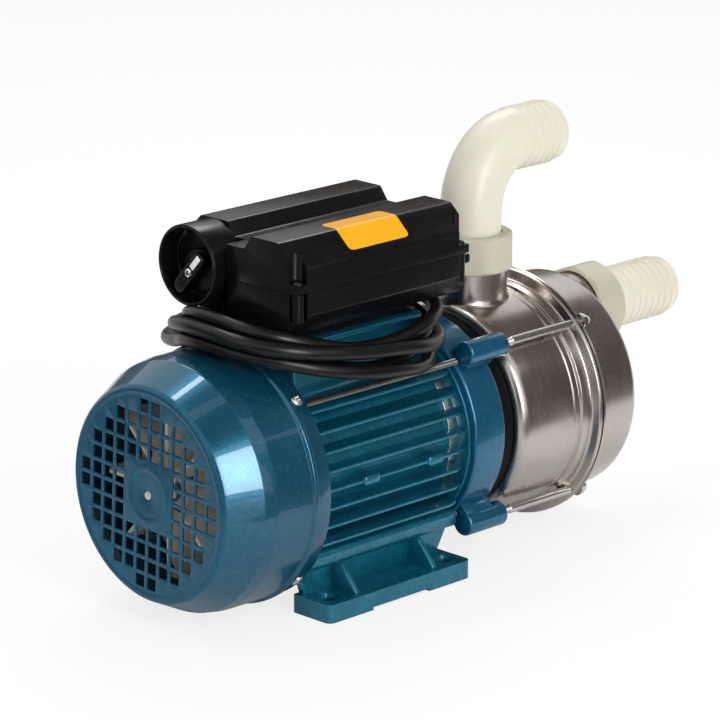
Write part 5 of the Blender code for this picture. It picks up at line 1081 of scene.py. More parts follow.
# cooling fan
fanSizes = {"start": 13.2, "length": 30.0, "radius": 51.0, "hub": 13.0, "plate": 2.4, "blades": 8,
            "blade": 2.2, "bore": 7.3, "nose": 2.4}


def makeFan(sizes=fanSizes):
    start, radius, plate = pick(sizes, "start radius plate")
    end = start + sizes["length"]
    line = [(end, sizes["bore"]), (end, radius), (end - plate, radius),
            (end - plate - 3.0, sizes["hub"] + 8.0), (end - plate - 10.0, sizes["hub"]),
            (start + 4.0, sizes["hub"] - 1.0), (start + 4.0, sizes["bore"])]
    hub = piece("fanHub", *lathe(rounded(line, [0, 0.8, 0.8, 6.0, 4.0, 1.0, 0], 4), 96))
    outline = [(start, radius - 5.0), (start + 5.0, radius), (end - 1.0, radius),
               (end - 1.0, sizes["hub"] - 1.0), (start, sizes["hub"] - 1.0)]
    base = [(x - start, y, -sizes["blade"] / 2) for x, y in outline]
    blade = patternObject("fanBlade", *solidFrom(base, (0, 0, sizes["blade"])))
    settled(bevelled(blade, 0.6, 2))
    ring = placeCopies("fanBlades", blade, [(start, 0, 0)] * sizes["blades"], evenly(sizes["blades"]),
                       "fanPlastic")
    return dress(united("coolingFan", hub, ring), "rotor", "fanPlastic", ("cooling_fan",))


makeFan()
print("cooling fan made")


# motor: end shields, finned housing, bolts
rearShieldSizes = {"start": 56.7, "end": 63.7, "radius": 57.5, "rim": 2.6, "hub": 17.0, "nose": 49.5,
                   "bore": 8.2, "lug": 11.0, "lugReach": 68.5, "ribs": 8, "rib": 3.0}


def makeRearShield(sizes=rearShieldSizes):
    end, radius, start, hub = pick(sizes, "end radius start hub")
    line = [(end, sizes["bore"]), (end, radius), (start, radius), (start, radius - sizes["rim"]),
            (start + 2.4, radius - sizes["rim"] - 2), (start + 2.4, hub + 3.0), (sizes["nose"], hub - 2.0),
            (sizes["nose"], sizes["bore"])]
    disc = piece("rearShieldDisc", *lathe(rounded(line, [0, 0.8, 0.8, 0.6, 1.6, 3.0, 1.0, 0], 4), 96))
    lug = patternObject("rearShieldLug",
                        *solidFrom([(0, radius - 3.0, -sizes["lug"] / 2),
                                    (0, sizes["lugReach"], -sizes["lug"] / 2),
                                    (0, sizes["lugReach"], sizes["lug"] / 2),
                                    (0, radius - 3.0, sizes["lug"] / 2)], (end - start, 0, 0)))
    settled(bevelled(lug, 1.4, 3))
    lugs = placeCopies("rearShieldLugs", lug, [(start, 0, 0)] * 4, square, "castAluminium")
    rib = patternObject("rearShieldRib",
                        *solidFrom([(0, hub, -sizes["rib"] / 2), (0, radius - 2.0, -sizes["rib"] / 2),
                                    (0, radius - 2.0, sizes["rib"] / 2), (0, hub, sizes["rib"] / 2)],
                                   (2.6, 0, 0)))
    settled(bevelled(rib, 0.6, 2))
    ribs = placeCopies("rearShieldRibs", rib, [(start + 0.2, 0, 0)] * sizes["ribs"], evenly(sizes["ribs"]),
                       "castAluminium")
    return dress(united("rearShield", disc, lugs, ribs), "pump", "castAluminium", ("rear_shield",))


makeRearShield()

housingSizes = {"start": 64.0, "end": 187.0, "bore": 45.0, "wall": 3.6,
                "pad": ((72.0, 36.0, 40.0), (170.0, 76.4)), "flange": ((77.0, 41.0, 73.7), (165.0, 76.7)),
                "cornerIn": 37.7, "cornerOut": 49.3, "cornerLow": -49.3, "cornerHigh": -39.3,
                "cornerEnds": (66.6, 186.2), "webMiddle": 41.5, "web": 5.0, "footEnds": (68.4, 177.8),
                "footIn": 39.0, "footOut": 67.2, "footLow": -73.0, "footTop": -62.6, "relief": 1.6,
                "reliefEnds": 33.0, "hole": 3.5, "counterbore": 6.4, "seatDepth": 1.2, "holes": (78.1, 168.1),
                "holeAcross": 56.0, "gussets": (93.4, 152.8), "gusset": 3.2, "toe": 63.2}
finSizes = {"count": 9, "pitch": 10.45, "top": 38.6, "thickness": 3.0, "tip": 0.62, "root": 40.0,
            "halfWidth": 56.8, "middle": -4.0, "halfHeight": 60.0, "power": 2.5, "start": 64.6, "end": 186.6,
            "point": 9.0}
lumpSizes = {"stations": (110.4, 160.0), "row": 4, "length": 12.0, "height": 5.6, "depth": 7.0}


def finTree():
    # rows of one fin, each as wide as the envelope of the casting at its height
    tree, given, out = newTree("finRows", ("Fin", "Object"), ("Rows", "Int"), ("Pitch", "Float"),
                               ("Start", "Vector"), ("Middle", "Float"), ("Half Height", "Float"),
                               ("Power", "Float"), ("Finish", "Material"))
    step = newNode(tree, "ShaderNodeCombineXYZ", [(2, mathNode(tree, "MULTIPLY", given["Pitch"], -1.0))])
    rows = newNode(tree, "GeometryNodeMeshLine",
                   [("Count", given["Rows"]), ("Start Location", given["Start"]),
                    ("Offset", step.outputs[0])])
    height = newNode(tree, "ShaderNodeSeparateXYZ",
                     [(0, tree.nodes.new("GeometryNodeInputPosition").outputs[0])])
    away = mathNode(tree, "ABSOLUTE", mathNode(tree, "SUBTRACT", height.outputs[2], given["Middle"]))
    share = mathNode(tree, "POWER", mathNode(tree, "DIVIDE", away, given["Half Height"]), given["Power"])
    inverse = mathNode(tree, "DIVIDE", 1.0, given["Power"])
    scale = newNode(tree, "ShaderNodeCombineXYZ",
                    [(1, mathNode(tree, "POWER", mathNode(tree, "SUBTRACT", 1.0, share), inverse))])
    scale.inputs[0].default_value = scale.inputs[2].default_value = 1.0
    info = newNode(tree, "GeometryNodeObjectInfo", [("Object", given["Fin"])])
    spread = newNode(tree, "GeometryNodeInstanceOnPoints",
                     [("Points", rows.outputs["Mesh"]), ("Instance", info.outputs["Geometry"]),
                      ("Scale", scale.outputs[0])])
    whole = newNode(tree, "GeometryNodeJoinGeometry",
                    [("Geometry", spread.outputs["Instances"]), ("Geometry", given["Geometry"])])
    return closeTree(tree, given, out, whole.outputs["Geometry"])


def roundedFin(sizes):
    # one fin of each side, drawn at the casting's widest: parallel flanks, a pointed front end and soft edges
    half, root = sizes["halfWidth"], sizes["root"]
    length = sizes["end"] - sizes["start"]
    outline = [(0, root), (0, half - 0.6), (0.6, half), (length - sizes["point"], half),
               (length - sizes["point"] * 0.35, half - 2.6), (length, half - 8.0), (length, root)]
    outline = rounded(outline, [0, 0.5, 0.5, 3.0, 2.0, 1.5, 0], 5)
    solids = []
    for side in (1, -1):
        base = [(x, side * y, -sizes["thickness"] / 2) for x, y in outline]
        solids.append(solidFrom(base, (0, 0, sizes["thickness"])))
    points, faces = joined(*solids)
    drafted = []
    for x, y, z in points:  # thinner towards the tip, as the mould needs
        share = min(max((abs(y) - root) / (half - root), 0.0), 1.0)
        drafted.append((x, y, z * (1 - (1 - sizes["tip"]) * share)))
    fin = patternObject("finPattern", drafted, faces)
    return settled(bevelled(fin, 0.55, 3, 50.0), 40.0)


def finTip(sizes, z):
    share = (abs(z - sizes["middle"]) / sizes["halfHeight"]) ** sizes["power"]
    return sizes["halfWidth"] * (1 - share) ** (1 / sizes["power"])


def makeHousing(sizes=housingSizes, fins=finSizes, lumps=lumpSizes):
    bore, end, footLow, footTop = pick(sizes, "bore end footLow footTop")
    outer = bore + sizes["wall"]
    barrelLine = [(sizes["start"], bore), (sizes["start"], outer - 0.6), (sizes["start"] + 0.6, outer),
                  (end - 0.6, outer), (end, outer - 0.6), (end, bore)]
    barrel = piece("housingBarrel", *lathe(barrelLine, 128))
    fin = roundedFin(fins)
    runTree(barrel, finTree(), 40.0,
            {"Fin": fin, "Rows": fins["count"], "Pitch": fins["pitch"] / 1000, "Power": fins["power"],
             "Start": tuple(world(fins["start"], 0, fins["top"])), "Middle": world(0, 0, fins["middle"]).z,
             "Half Height": fins["halfHeight"] / 1000, "Finish": finish["castPaint"]})
    bpy.data.objects.remove(fin)

    (padStart, padHalf, padLow), (padEnd, padTop) = sizes["pad"]
    (flangeStart, flangeHalf, flangeLow), (flangeEnd, flangeTop) = sizes["flange"]
    pad = softBlock("housingPad", (padStart, -padHalf, padLow), (padEnd, padHalf, padTop - 0.2), 2.0)
    flange = softBlock("housingFlange", (flangeStart, -flangeHalf, flangeLow),
                       (flangeEnd, flangeHalf, flangeTop), 0.9)
    made = [barrel, pad, flange]

    for side in (-1, 1):
        near, far = sorted((side * sizes["cornerIn"], side * sizes["cornerOut"]))
        made.append(softBlock(f"housingCorner{side}", (sizes["cornerEnds"][0], near, sizes["cornerLow"]),
                              (sizes["cornerEnds"][1], far, sizes["cornerHigh"]), 3.2, 4))
        low, high = sizes["footEnds"]
        web = [(67.4, -36.0), (67.4, -48.5), (72.4, -65.0), (173.8, -65.0), (183.6, -48.5), (183.6, -36.0)]
        y = side * sizes["webMiddle"] - sizes["web"] / 2
        webSolid = piece(f"housingWeb{side}", *solidFrom([(x, y, z) for x, z in web], (0, sizes["web"], 0)))
        made.append(settled(bevelled(webSolid, 1.6, 3), 40.0))

        inner, outerEdge = sorted((side * sizes["footIn"], side * sizes["footOut"]))
        rounding = [1.0, 4.5, 4.5, 1.0] if side > 0 else [4.5, 1.0, 1.0, 4.5]
        rim = rounded([(low, inner), (low, outerEdge), (high, outerEdge), (high, inner)], rounding, 5)
        foot = piece(f"housingFoot{side}",
                     *solidFrom([(a, b, footLow) for a, b in rim], (0, 0, footTop - footLow)))
        gap = block((low + sizes["reliefEnds"], inner - 3, footLow - 1),
                    (high - sizes["reliefEnds"], outerEdge + 3, footLow + sizes["relief"]))
        carve(foot, piece("footRelief", *gap))
        for x in sizes["holes"]:
            spot = (x, side * sizes["holeAcross"])
            drill(foot, "footHole", -80, -55, sizes["hole"], spot)
            drill(foot, "footSeat", footTop - sizes["seatDepth"], -55, sizes["counterbore"], spot)
        made.append(settled(bevelled(foot, 1.1, 3, 40.0), 40.0))

        for x in sizes["gussets"]:
            start = side * (sizes["webMiddle"] + 1.0)
            toe = side * sizes["toe"]
            tri = [(x, start, -46.0), (x, start, footTop - 1.0), (x, toe, footTop - 1.0),
                   (x, toe, footTop + 1.2), (x, start + side * 9.0, -48.0)]
            gusset = piece(f"gusset{side}",
                           *solidFrom([(p[0] - sizes["gusset"] / 2, p[1], p[2]) for p in tri],
                                      (sizes["gusset"], 0, 0)))
            made.append(settled(bevelled(gusset, 1.0, 3), 40.0))

    z = fins["top"] - lumps["row"] * fins["pitch"]
    for side in (-1, 1):
        for x in lumps["stations"]:
            tip = side * (finTip(fins, z) + 1.2)
            inner, outerEdge = sorted((tip, tip - side * lumps["depth"]))
            made.append(softBlock("finLump", (x - lumps["length"] / 2, inner, z - lumps["height"] / 2),
                                  (x + lumps["length"] / 2, outerEdge, z + lumps["height"] / 2), 1.7, 4,
                                  50.0))
    return dress(united("motorHousing", *made), "pump", "castPaint", ("motor_housing",))


makeHousing()
print("motor housing made")

boltSizes = {"radius": 62.2, "rod": 2.0, "start": 55.0, "end": 189.0, "head": 4.4, "headHeight": 3.2}


def makeMotorBolts(sizes=boltSizes):
    length = sizes["end"] - sizes["start"]
    rod = [(0.0, 0.0), (0.0, sizes["rod"])]
    k = length - 18.0
    while k < length - 1.0:  # rolled thread at the front end
        rod += [(k, sizes["rod"] - 0.1), (k + 0.4, sizes["rod"] + 0.05)]
        k += 0.8
    rod += [(length - 0.6, sizes["rod"] - 0.2), (length, sizes["rod"] - 0.7), (length, 0.0)]
    pattern = patternObject("motorBolt", *lathe(rod, 24, closed=False), smooth=40.0)
    head = patternObject("motorBoltHead", *prism(hexagon(sizes["head"]), -0.4, sizes["headHeight"] - 0.4))
    settled(bevelled(head, 0.35, 2))
    places = onRing(sizes["radius"], sizes["start"])
    rods = placeCopies("motorRods", pattern, places, still, "darkSteel")
    heads = placeCopies("motorHeads", head, places, square, "darkSteel")
    return dress(united("motorBolts", rods, heads), "pump", "darkSteel", numbered("motor_bolt"))


makeMotorBolts()

frontShieldSizes = {"start": 187.3, "end": 211.4, "radius": 61.4, "wall": 6.5, "edge": 2.0, "webStart": 201.6,
                    "webEnd": 207.1, "hub": 20.0, "bore": 9.0, "bossCircle": 69.5, "boss": 7.0,
                    "bossStart": 189.3, "bossEnd": 219.5, "neck": 14.0, "bossBore": 2.8}


def makeFrontShield(sizes=frontShieldSizes):
    radius, start, end, hub, bossStart = pick(sizes, "radius start end hub bossStart")
    bossCircle = sizes["bossCircle"]
    inner = radius - sizes["wall"]
    line = [(start, inner), (start, radius), (end, radius), (end, inner + 2.0), (sizes["webEnd"], inner),
            (sizes["webEnd"], hub), (end - 1.0, hub - 3.0), (end - 1.0, sizes["bore"]),
            (start + 4.0, sizes["bore"]), (start + 4.0, hub - 2.0), (sizes["webStart"], hub),
            (sizes["webStart"], inner)]
    profile = rounded(line, [0.6, sizes["edge"], sizes["edge"], 0.8, 1.5, 2, 0.8, 0.3, 0.3, 0.8, 2, 2], 5)
    ring = piece("frontShieldRing", *lathe(profile, 128), smooth=40.0)
    length = sizes["bossEnd"] - bossStart
    bossLine = rounded([(0, 0), (0, sizes["boss"]), (length, sizes["boss"]), (length, sizes["bossBore"]),
                        (length - 6.0, sizes["bossBore"]), (length - 6.0, 0)], [0, 1.8, 1.2, 0.3, 0, 0], 4,
                       False)
    boss = patternObject("shieldBoss", *lathe(bossLine, 48, closed=False), smooth=40.0)
    bosses = placeCopies("shieldBosses", boss, onRing(bossCircle, bossStart), still, "shieldPaint")
    neckLine = [(0, radius - 4.0, -sizes["neck"] / 2), (0, bossCircle, -sizes["neck"] / 2 + 0.4),
                (0, bossCircle, sizes["neck"] / 2 - 0.4), (0, radius - 4.0, sizes["neck"] / 2)]
    neck = patternObject("shieldNeck", *solidFrom(neckLine, (end - bossStart - 1.0, 0, 0)))
    settled(bevelled(neck, 0.6, 2))
    necks = placeCopies("shieldNecks", neck, [(bossStart + 0.6, 0, 0)] * 4, square, "shieldPaint")
    return dress(united("frontShield", ring, bosses, necks), "pump", "shieldPaint", ("front_shield",))


makeFrontShield()


spigotSizes = {"bare": (178.5, 185.6, 49.7), "collar": (185.4, 187.25, 57.8), "inner": 48.2}


def makeSpigot(sizes=spigotSizes):
    # machined step at the barrel's front end, left bare between the fins, and the painted collar behind it
    for name, key, finishName in (("shieldSpigot", "bare", "zincSteel"),
                                  ("housingCollar", "collar", "castPaint")):
        low, high, radius = sizes[key]
        line = rounded([(low, sizes["inner"]), (low, radius), (high, radius), (high, sizes["inner"])], 0.4, 3)
        ring = piece(name, *lathe(line, 128), smooth=40.0)
        dress(ring, "pump", finishName)


makeSpigot()
print("end shields and bolts made")


# pump: backing disc, drawn casing and cover, tie rods and cap nuts
backingSizes = {"start": 211.7, "end": 221.8, "radius": 58.0, "edge": 1.8, "bore": 12.0}


def makeBacking(sizes=backingSizes):
    line = [(sizes["start"], sizes["bore"]), (sizes["start"], sizes["radius"]),
            (sizes["end"], sizes["radius"]), (sizes["end"], sizes["bore"])]
    disc = piece("backingDisc", *lathe(rounded(line, [0.3, sizes["edge"], sizes["edge"], 0.3], 5), 128),
                 smooth=40.0)
    return dress(disc, "pump", "backPlastic", ("backing_disc",))


makeBacking()

casingSizes = {"back": 222.1, "backRadius": 55.0, "shoulder": 63.2, "shoulderRound": 8.5, "body": 64.4,
               "stages": ((264.6, 64.9), (269.2, 66.5)), "stepRadius": 66.6, "end": 279.3, "lip": 72.8,
               "sheet": 1.5, "bore": 22.0, "portX": 246.1, "portRadius": 21.0, "portBore": 18.8,
               "portTop": 88.7, "weld": 2.0, "weldHeight": 3.6}
coverPumpSizes = {"start": 280.9, "end": 318.3, "radius": 64.2, "front": 4.2, "lip": 72.8, "sheet": 1.5,
                  "portZ": 38.5, "portEnd": 342.3, "portRadius": 21.0, "portBore": 18.8}
gasketSizes = {"start": 279.35, "end": 280.85, "outer": 71.2, "inner": 64.0}


def makeCasing(sizes=casingSizes):
    lip, portBore, portRadius, portTop = pick(sizes, "lip portBore portRadius portTop")
    back, end = sizes["back"], sizes["end"]
    body = sizes["body"]
    line = [(back, sizes["bore"]), (back, sizes["backRadius"] - 6.0), (back + 0.4, sizes["shoulder"]),
            (back + 18.0, body)]
    rounds = [0, 6.0, sizes["shoulderRound"], 9.0]
    for at, radius in sizes["stages"]:  # the drawing tool leaves the flare in stages
        line += [(at - 0.5, line[-1][1]), (at + 0.5, radius)]
        rounds += [0.6, 0.6]
    line += [(end - 3.2, sizes["stepRadius"] + 0.6), (end - 1.9, lip - 0.4), (end - 0.2, lip)]
    rounds += [2.0, 1.6, 0]
    outer = rounded(line, rounds, 7, closed=False)
    inner = [(x + 1.2, r - sizes["sheet"]) for x, r in outer[1:-1]]
    inner = [p for p in inner if p[0] < end - 4.5]
    closing = [(end, lip - 0.4), (end, sizes["stepRadius"] - sizes["sheet"])]
    profile = outer + closing + inner[::-1] + [(back + 1.5, sizes["bore"])]
    shell = piece("casingShell", *lathe(profile, 160), smooth=50.0)
    drill(shell, "casingBore", 40.0, 95.0, portBore, (sizes["portX"], 0), steps=64)
    shadeMesh(shell.data, 50.0)
    low = math.sqrt(sizes["body"] ** 2 - portRadius ** 2) - 1.2
    nipple = [(low - 3.0, portBore), (low - 3.0, portRadius), (portTop - 0.8, portRadius),
              (portTop, portRadius - 0.8), (portTop, portBore)]
    port = piece("casingPort", *lathe(nipple, 96, "z", (sizes["portX"], 0)), smooth=40.0)
    flare = weldFlare("casingFlare", sizes, outer)
    return dress(united("pumpCasing", shell, port, flare), "pump", "stainless", ("pump_casing",))


def weldFlare(name, sizes, skin, steps=96, rings=8):
    # the drawn flare where the nipple grows out of the casing, laid along the line where the two meet
    def skinHeight(x, y):
        radius = sizes["body"]
        for (x0, r0), (x1, r1) in zip(skin, skin[1:]):
            if x0 <= x <= x1 and x1 > x0:
                radius = r0 + (r1 - r0) * (x - x0) / (x1 - x0)
        return math.sqrt(max(radius ** 2 - y * y, 0))

    points = []
    for k in range(steps):
        a = 2 * math.pi * k / steps
        for j in range(rings + 1):
            b = math.pi / 2 * j / rings
            radius = sizes["portRadius"] + 0.02 + sizes["weld"] * (1 - math.sin(b))
            y, x = radius * math.sin(a), sizes["portX"] + radius * math.cos(a)
            points.append((x, y, skinHeight(x, y) - 0.3 + sizes["weldHeight"] * (1 - math.cos(b))))
        under = sizes["portRadius"] - 0.6
        y, x = under * math.sin(a), sizes["portX"] + under * math.cos(a)
        points.append((x, y, points[-1][2]))
        points.append((x, y, skinHeight(x, y) - 1.2))
    return piece(name, points, ringFaces(steps, rings + 3), smooth=60.0)


def makeFrontCover(sizes=coverPumpSizes):
    radius, front, sheet, portBore, portRadius = pick(sizes, "radius front sheet portBore portRadius")
    start, end = sizes["start"], sizes["end"]
    line = [(start, sizes["lip"] - 0.4), (start + 1.7, sizes["lip"]), (start + 3.0, radius + 2.0),
            (start + 5.0, radius + 1.2), (start + 8.0, radius), (end, radius), (end, 0.0)]
    rounds = [0, 1.6, 1.6, 1.5, 2.0, front, 0]
    outer = rounded(line, rounds, 8, closed=False)
    inner = [(start, radius - sheet)]
    inner += [(end - sheet - front, radius - sheet), (end - sheet - 2.0, radius - sheet - 2.0),
              (end - sheet, radius - sheet - front), (end - sheet, 0.0)]
    shell = piece("coverShell", *lathe(inner[::-1] + outer, 160, closed=False), smooth=50.0)
    spot = (0, sizes["portZ"])
    drill(shell, "coverBore", 300.0, 330.0, portBore, spot, "x", 64)
    shadeMesh(shell.data, 50.0)
    nipple = [(end - 3.5, portBore), (end - 3.5, portRadius), (end - 0.2, portRadius + 2.2),
              (end + 2.2, portRadius), (sizes["portEnd"], portRadius), (sizes["portEnd"], portBore)]
    port = piece("coverPort", *lathe(rounded(nipple, [0, 0, 0, 1.8, 0.8, 0], 5), 96, "x", spot), smooth=40.0)
    return dress(united("frontCover", shell, port), "pump", "stainless", ("front_cover",))


makeCasing()
makeFrontCover()


def makeGasket(sizes=gasketSizes):
    line = [(sizes["start"], sizes["inner"]), (sizes["start"], sizes["outer"]),
            (sizes["end"], sizes["outer"]), (sizes["end"], sizes["inner"])]
    ring = piece("casingGasket", *lathe(rounded(line, 0.5), 128), smooth=40.0)
    return dress(ring, "pump", "sealRubber", ("casing_gasket",))


makeGasket()
print("casing and cover made")

tieRodSizes = {"circle": 69.5, "start": 214.0, "neckEnd": 227.5, "neck": 2.0, "rod": 2.6, "end": 290.0,
               "thread": 0.8}
capNutSizes = {"circle": 69.5, "start": 283.7, "height": 8.6, "hex": 4.6, "share": 0.45, "washer": 4.9}


def makeTieRods(sizes=tieRodSizes):
    start, neck, neckEnd = pick(sizes, "start neck neckEnd")
    length, step = sizes["end"] - start, sizes["thread"]
    line = [(0.0, 0.0), (0.0, neck)]
    k = 0.2
    while k < neckEnd - start - 1.2:
        line += [(k, neck - 0.2), (k + step / 2, neck + 0.12)]
        k += step
    line += [(neckEnd - start - 0.8, neck), (neckEnd - start, sizes["rod"]), (283.0 - start, sizes["rod"])]
    k = 283.4 - start
    while k < length - 1.0:
        line += [(k, neck - 0.2), (k + step / 2, neck + 0.1)]
        k += step
    line += [(length, neck - 0.3), (length, 0.0)]
    rod = patternObject("tieRod", *lathe(line, 28, closed=False), smooth=40.0)
    rods = placeCopies("tieRods", rod, onRing(sizes["circle"], start), still, "zincSteel")
    return dress(rods, "pump", None, numbered("tie_rod"))


def makeCapNuts(sizes=capNutSizes):
    hexHigh = sizes["height"] * sizes["share"]
    nut = patternObject("capNutHex", *prism(hexagon(sizes["hex"]), 0.5, hexHigh))
    limit = patternObject("capNutTurn",
                          *lathe([(-1.0, 0.0), (-1.0, sizes["hex"]), (hexHigh - 0.7, sizes["hex"]),
                                  (hexHigh + 0.3, sizes["hex"] * 0.84), (hexHigh + 0.3, 0.0)], 48,
                                 closed=False))
    carve(nut, limit, "INTERSECT")
    dome = [(0.0, 0.0), (0.0, sizes["washer"]), (0.7, sizes["washer"]), (0.75, sizes["hex"] * 0.7),
            (hexHigh, sizes["hex"] * 0.7)]
    dome += arcOf((hexHigh, 0.0), (sizes["height"] - hexHigh, sizes["hex"] * 0.74), 90, 0, 10)
    top = patternObject("capNutDome", *lathe(dome, 40, closed=False), smooth=45.0)
    places = onRing(sizes["circle"], sizes["start"])
    nuts = placeCopies("capNutHexes", nut, places, square, "polished")
    domes = placeCopies("capNutDomes", top, places, square, "polished", smooth=45.0)
    return dress(united("capNuts", nuts, domes), "pump", "polished", numbered("cap_nut"))


makeTieRods()
makeCapNuts()
print("tie rods and cap nuts made")


# ports: union nuts, elbow and straight tail of nylon
nutSizes = {"radius": 25.6, "sides": 8, "length": 21.2, "chamfer": 2.2, "corner": 0.8, "throat": 18.1,
            "bore": 21.3, "lip": 4.2, "topLow": 79.3, "topX": 246.1, "frontLow": 332.9, "frontZ": 38.5}


def unionNut(name, sizes, axis, low, centre, turn, steps=128):
    # eight flats with rounded corners, both ends chamfered, a throat at the tail end
    sides, bore = pick(sizes, "sides bore")
    apothem = sizes["radius"] * math.cos(math.pi / sides)
    length, chamfer = sizes["length"], sizes["chamfer"]
    levels = []
    for k in range(7):
        d = chamfer * (k / 6) ** 1.5
        levels.append((d, sizes["radius"] - (chamfer - d) * 1.45))
    outside = levels + [(length - d, limit) for d, limit in levels[::-1]]
    inside = [(length, sizes["throat"]), (length - sizes["lip"], sizes["throat"]),
              (length - sizes["lip"], bore), (0.8, bore), (0.0, bore + 0.6)]
    points = []
    for j in range(steps):
        a = 2 * math.pi * j / steps
        local = (a - turn) % (2 * math.pi / sides) - math.pi / sides
        flat = apothem / math.cos(local)
        flat = (flat ** -70 + (sizes["radius"] - sizes["corner"]) ** -70) ** (-1 / 70)
        ring = [(d, min(flat, limit)) for d, limit in outside] + inside
        points += [onAxis(axis, centre, low + station, radius, a) for station, radius in ring]
    return piece(name, points, ringFaces(steps, len(outside) + len(inside)), smooth=22.0)


topNut = unionNut("topUnionNut", nutSizes, "z", nutSizes["topLow"], (nutSizes["topX"], 0.0),
                  math.radians(22.5))
dress(topNut, "top_nut", "nutNylon", ("top_union_nut",))
frontNut = unionNut("frontUnionNut", nutSizes, "x", nutSizes["frontLow"], (0.0, nutSizes["frontZ"]),
                    math.radians(0))
dress(frontNut, "front_nut", "nutNylon", ("front_union_nut",))

elbowSizes = {"x": 246.1, "flangeLow": 89.0, "flangeHigh": 93.0, "flange": 20.6, "tube": 17.5, "bore": 14.0,
              "bend": 32.6, "rise": 39.0, "axisHeight": 148.6, "reach": 64.0, "barbs": 5, "pitch": 5.6,
              "root": 17.6, "ridge": 18.3, "collar": 18.5, "last": 17.4}


def barbLine(start, sizes, tip):
    # saw-tooth rings: (distance, radius) pairs that rise towards the foot of the tail, the last one plain
    line = []
    for k in range(sizes["barbs"]):
        at = start + sizes["pitch"] * k
        root = sizes["root"] + (sizes["last"] - sizes["root"]) * (k + 1) / sizes["barbs"]
        line += [(at + 0.25, sizes["ridge"] - 0.3), (at + 0.5, sizes["ridge"]),
                 (at + 0.9, sizes["ridge"] - 0.05), (at + sizes["pitch"] - 0.2, root)]
    line += [(tip - 2.4, line[-1][1]), (tip - 1.2, line[-1][1] - 0.25), (tip - 0.35, line[-1][1] - 0.9),
             (tip, line[-1][1] - 1.7)]
    return line


def makeElbow(sizes=elbowSizes):
    flangeHigh, tube = pick(sizes, "flangeHigh tube")
    path, outer = [], []

    def add(point, radius):
        path.append(point)
        outer.append(radius)

    x, top = sizes["x"], sizes["axisHeight"]
    for z, r in ((sizes["flangeLow"], sizes["flange"]), (flangeHigh, sizes["flange"]),
                 (flangeHigh + 0.02, tube + 0.6), (flangeHigh + 1.5, tube), (100.0, tube), (105.0, tube)):
        add((x, 0, z), r)
    middle = (x + sizes["bend"], top - sizes["rise"])
    for k in range(25):
        a = math.radians(180 - 90 * k / 24)
        add((middle[0] + sizes["bend"] * math.cos(a), 0, middle[1] + sizes["rise"] * math.sin(a)), tube)
    start = x + sizes["reach"] - sizes["pitch"] * sizes["barbs"] - 2.8
    collar = start - 2.8
    for d, r in ((collar - 0.5, tube), (collar, sizes["collar"] - 0.4), (collar + 0.4, sizes["collar"]),
                 (collar + 1.8, sizes["collar"]), (collar + 2.2, sizes["collar"] - 0.4),
                 (collar + 2.6, sizes["root"])):
        if d > path[-1][0]:
            add((d, 0, top), r)
    for d, r in barbLine(start, sizes, x + sizes["reach"]):
        add((d, 0, top), r)
    elbow = piece("elbowBarb", *pipe(path, outer, [sizes["bore"]] * len(path), 96), smooth=28.0)
    return dress(elbow, "elbow", "nylon", ("elbow_barb",))


makeElbow()

tailSizes = {"start": 342.6, "end": 410.2, "z": 38.5, "radius": 17.5, "bore": 14.0, "flange": 20.6,
             "flangeLength": 4.0, "neck": 16.0, "barbs": 8, "pitch": 5.6, "root": 17.35, "ridge": 18.2,
             "last": 17.0}


def makeFrontTail(sizes=tailSizes):
    start, end = sizes["start"], sizes["end"]
    first = end - sizes["pitch"] * sizes["barbs"] - 2.8
    line = [(start, sizes["bore"]), (start, sizes["flange"]),
            (start + sizes["flangeLength"], sizes["flange"]),
            (start + sizes["flangeLength"], sizes["radius"] + 0.4), (start + 5.2, sizes["radius"]),
            (first - 3.6, sizes["radius"]), (first - 3.2, 18.3), (first - 1.4, 18.3),
            (first - 1.0, sizes["root"])]
    line += barbLine(first, sizes, end) + [(end, sizes["bore"])]
    tail = piece("frontBarb", *lathe(line, 96, "x", (0, sizes["z"])), smooth=28.0)
    return dress(tail, "front_tail", "nylon", ("front_barb",))


makeFrontTail()
print("ports made")


# terminal box with its lid, screws and blank label
boxSizes = {"start": 60.5, "end": 190.8, "stepX": 74.5, "stepY": 2.6, "half": 51.4, "waist": 94.5,
            "waistHalf": 44.0, "floor": 83.3, "seam": 107.0, "lidLow": 107.25, "corner": 120.4, "top": 133.2,
            "topOut": 37.2, "topIn": 16.6, "valleyHalf": 11.0, "valley": 125.6, "edge": 2.2,
            "foot": ((77.0, -36.0, 76.9), (165.0, 36.0, 85.8)),
            "posts": ((64.5, -47.4), (186.8, -47.4), (186.8, 47.4), (78.5, 47.4)), "recess": 4.4,
            "seat": 112.0, "column": 92.0, "tab": ((189.5, -46.9, 99.5), (196.8, -37.9, 104.5))}
boxScrewSizes = {"head": 3.3, "height": 2.0, "shank": 1.6, "length": 4.0, "recess": 3.4}
labelSizes = {"start": 103.0, "end": 148.0, "inner": -25.0, "film": 0.18, "corner": 3.0, "down": 14.6}


def stepped(outline, sizes, low, high, name):
    # the outline carried along the box, set back on the side where the switch cup stands
    body = piece(name, *prism(outline, low, high))
    cut = block((low - 5, sizes["stepY"], 60), (sizes["stepX"], 80, 140))
    return carve(body, piece(name + "Step", *cut))


def postHoles(body, sizes, low, high, name):
    for number, spot in enumerate(sizes["posts"]):
        drill(body, f"{name}Post{number}", low, high, sizes["recess"], spot)


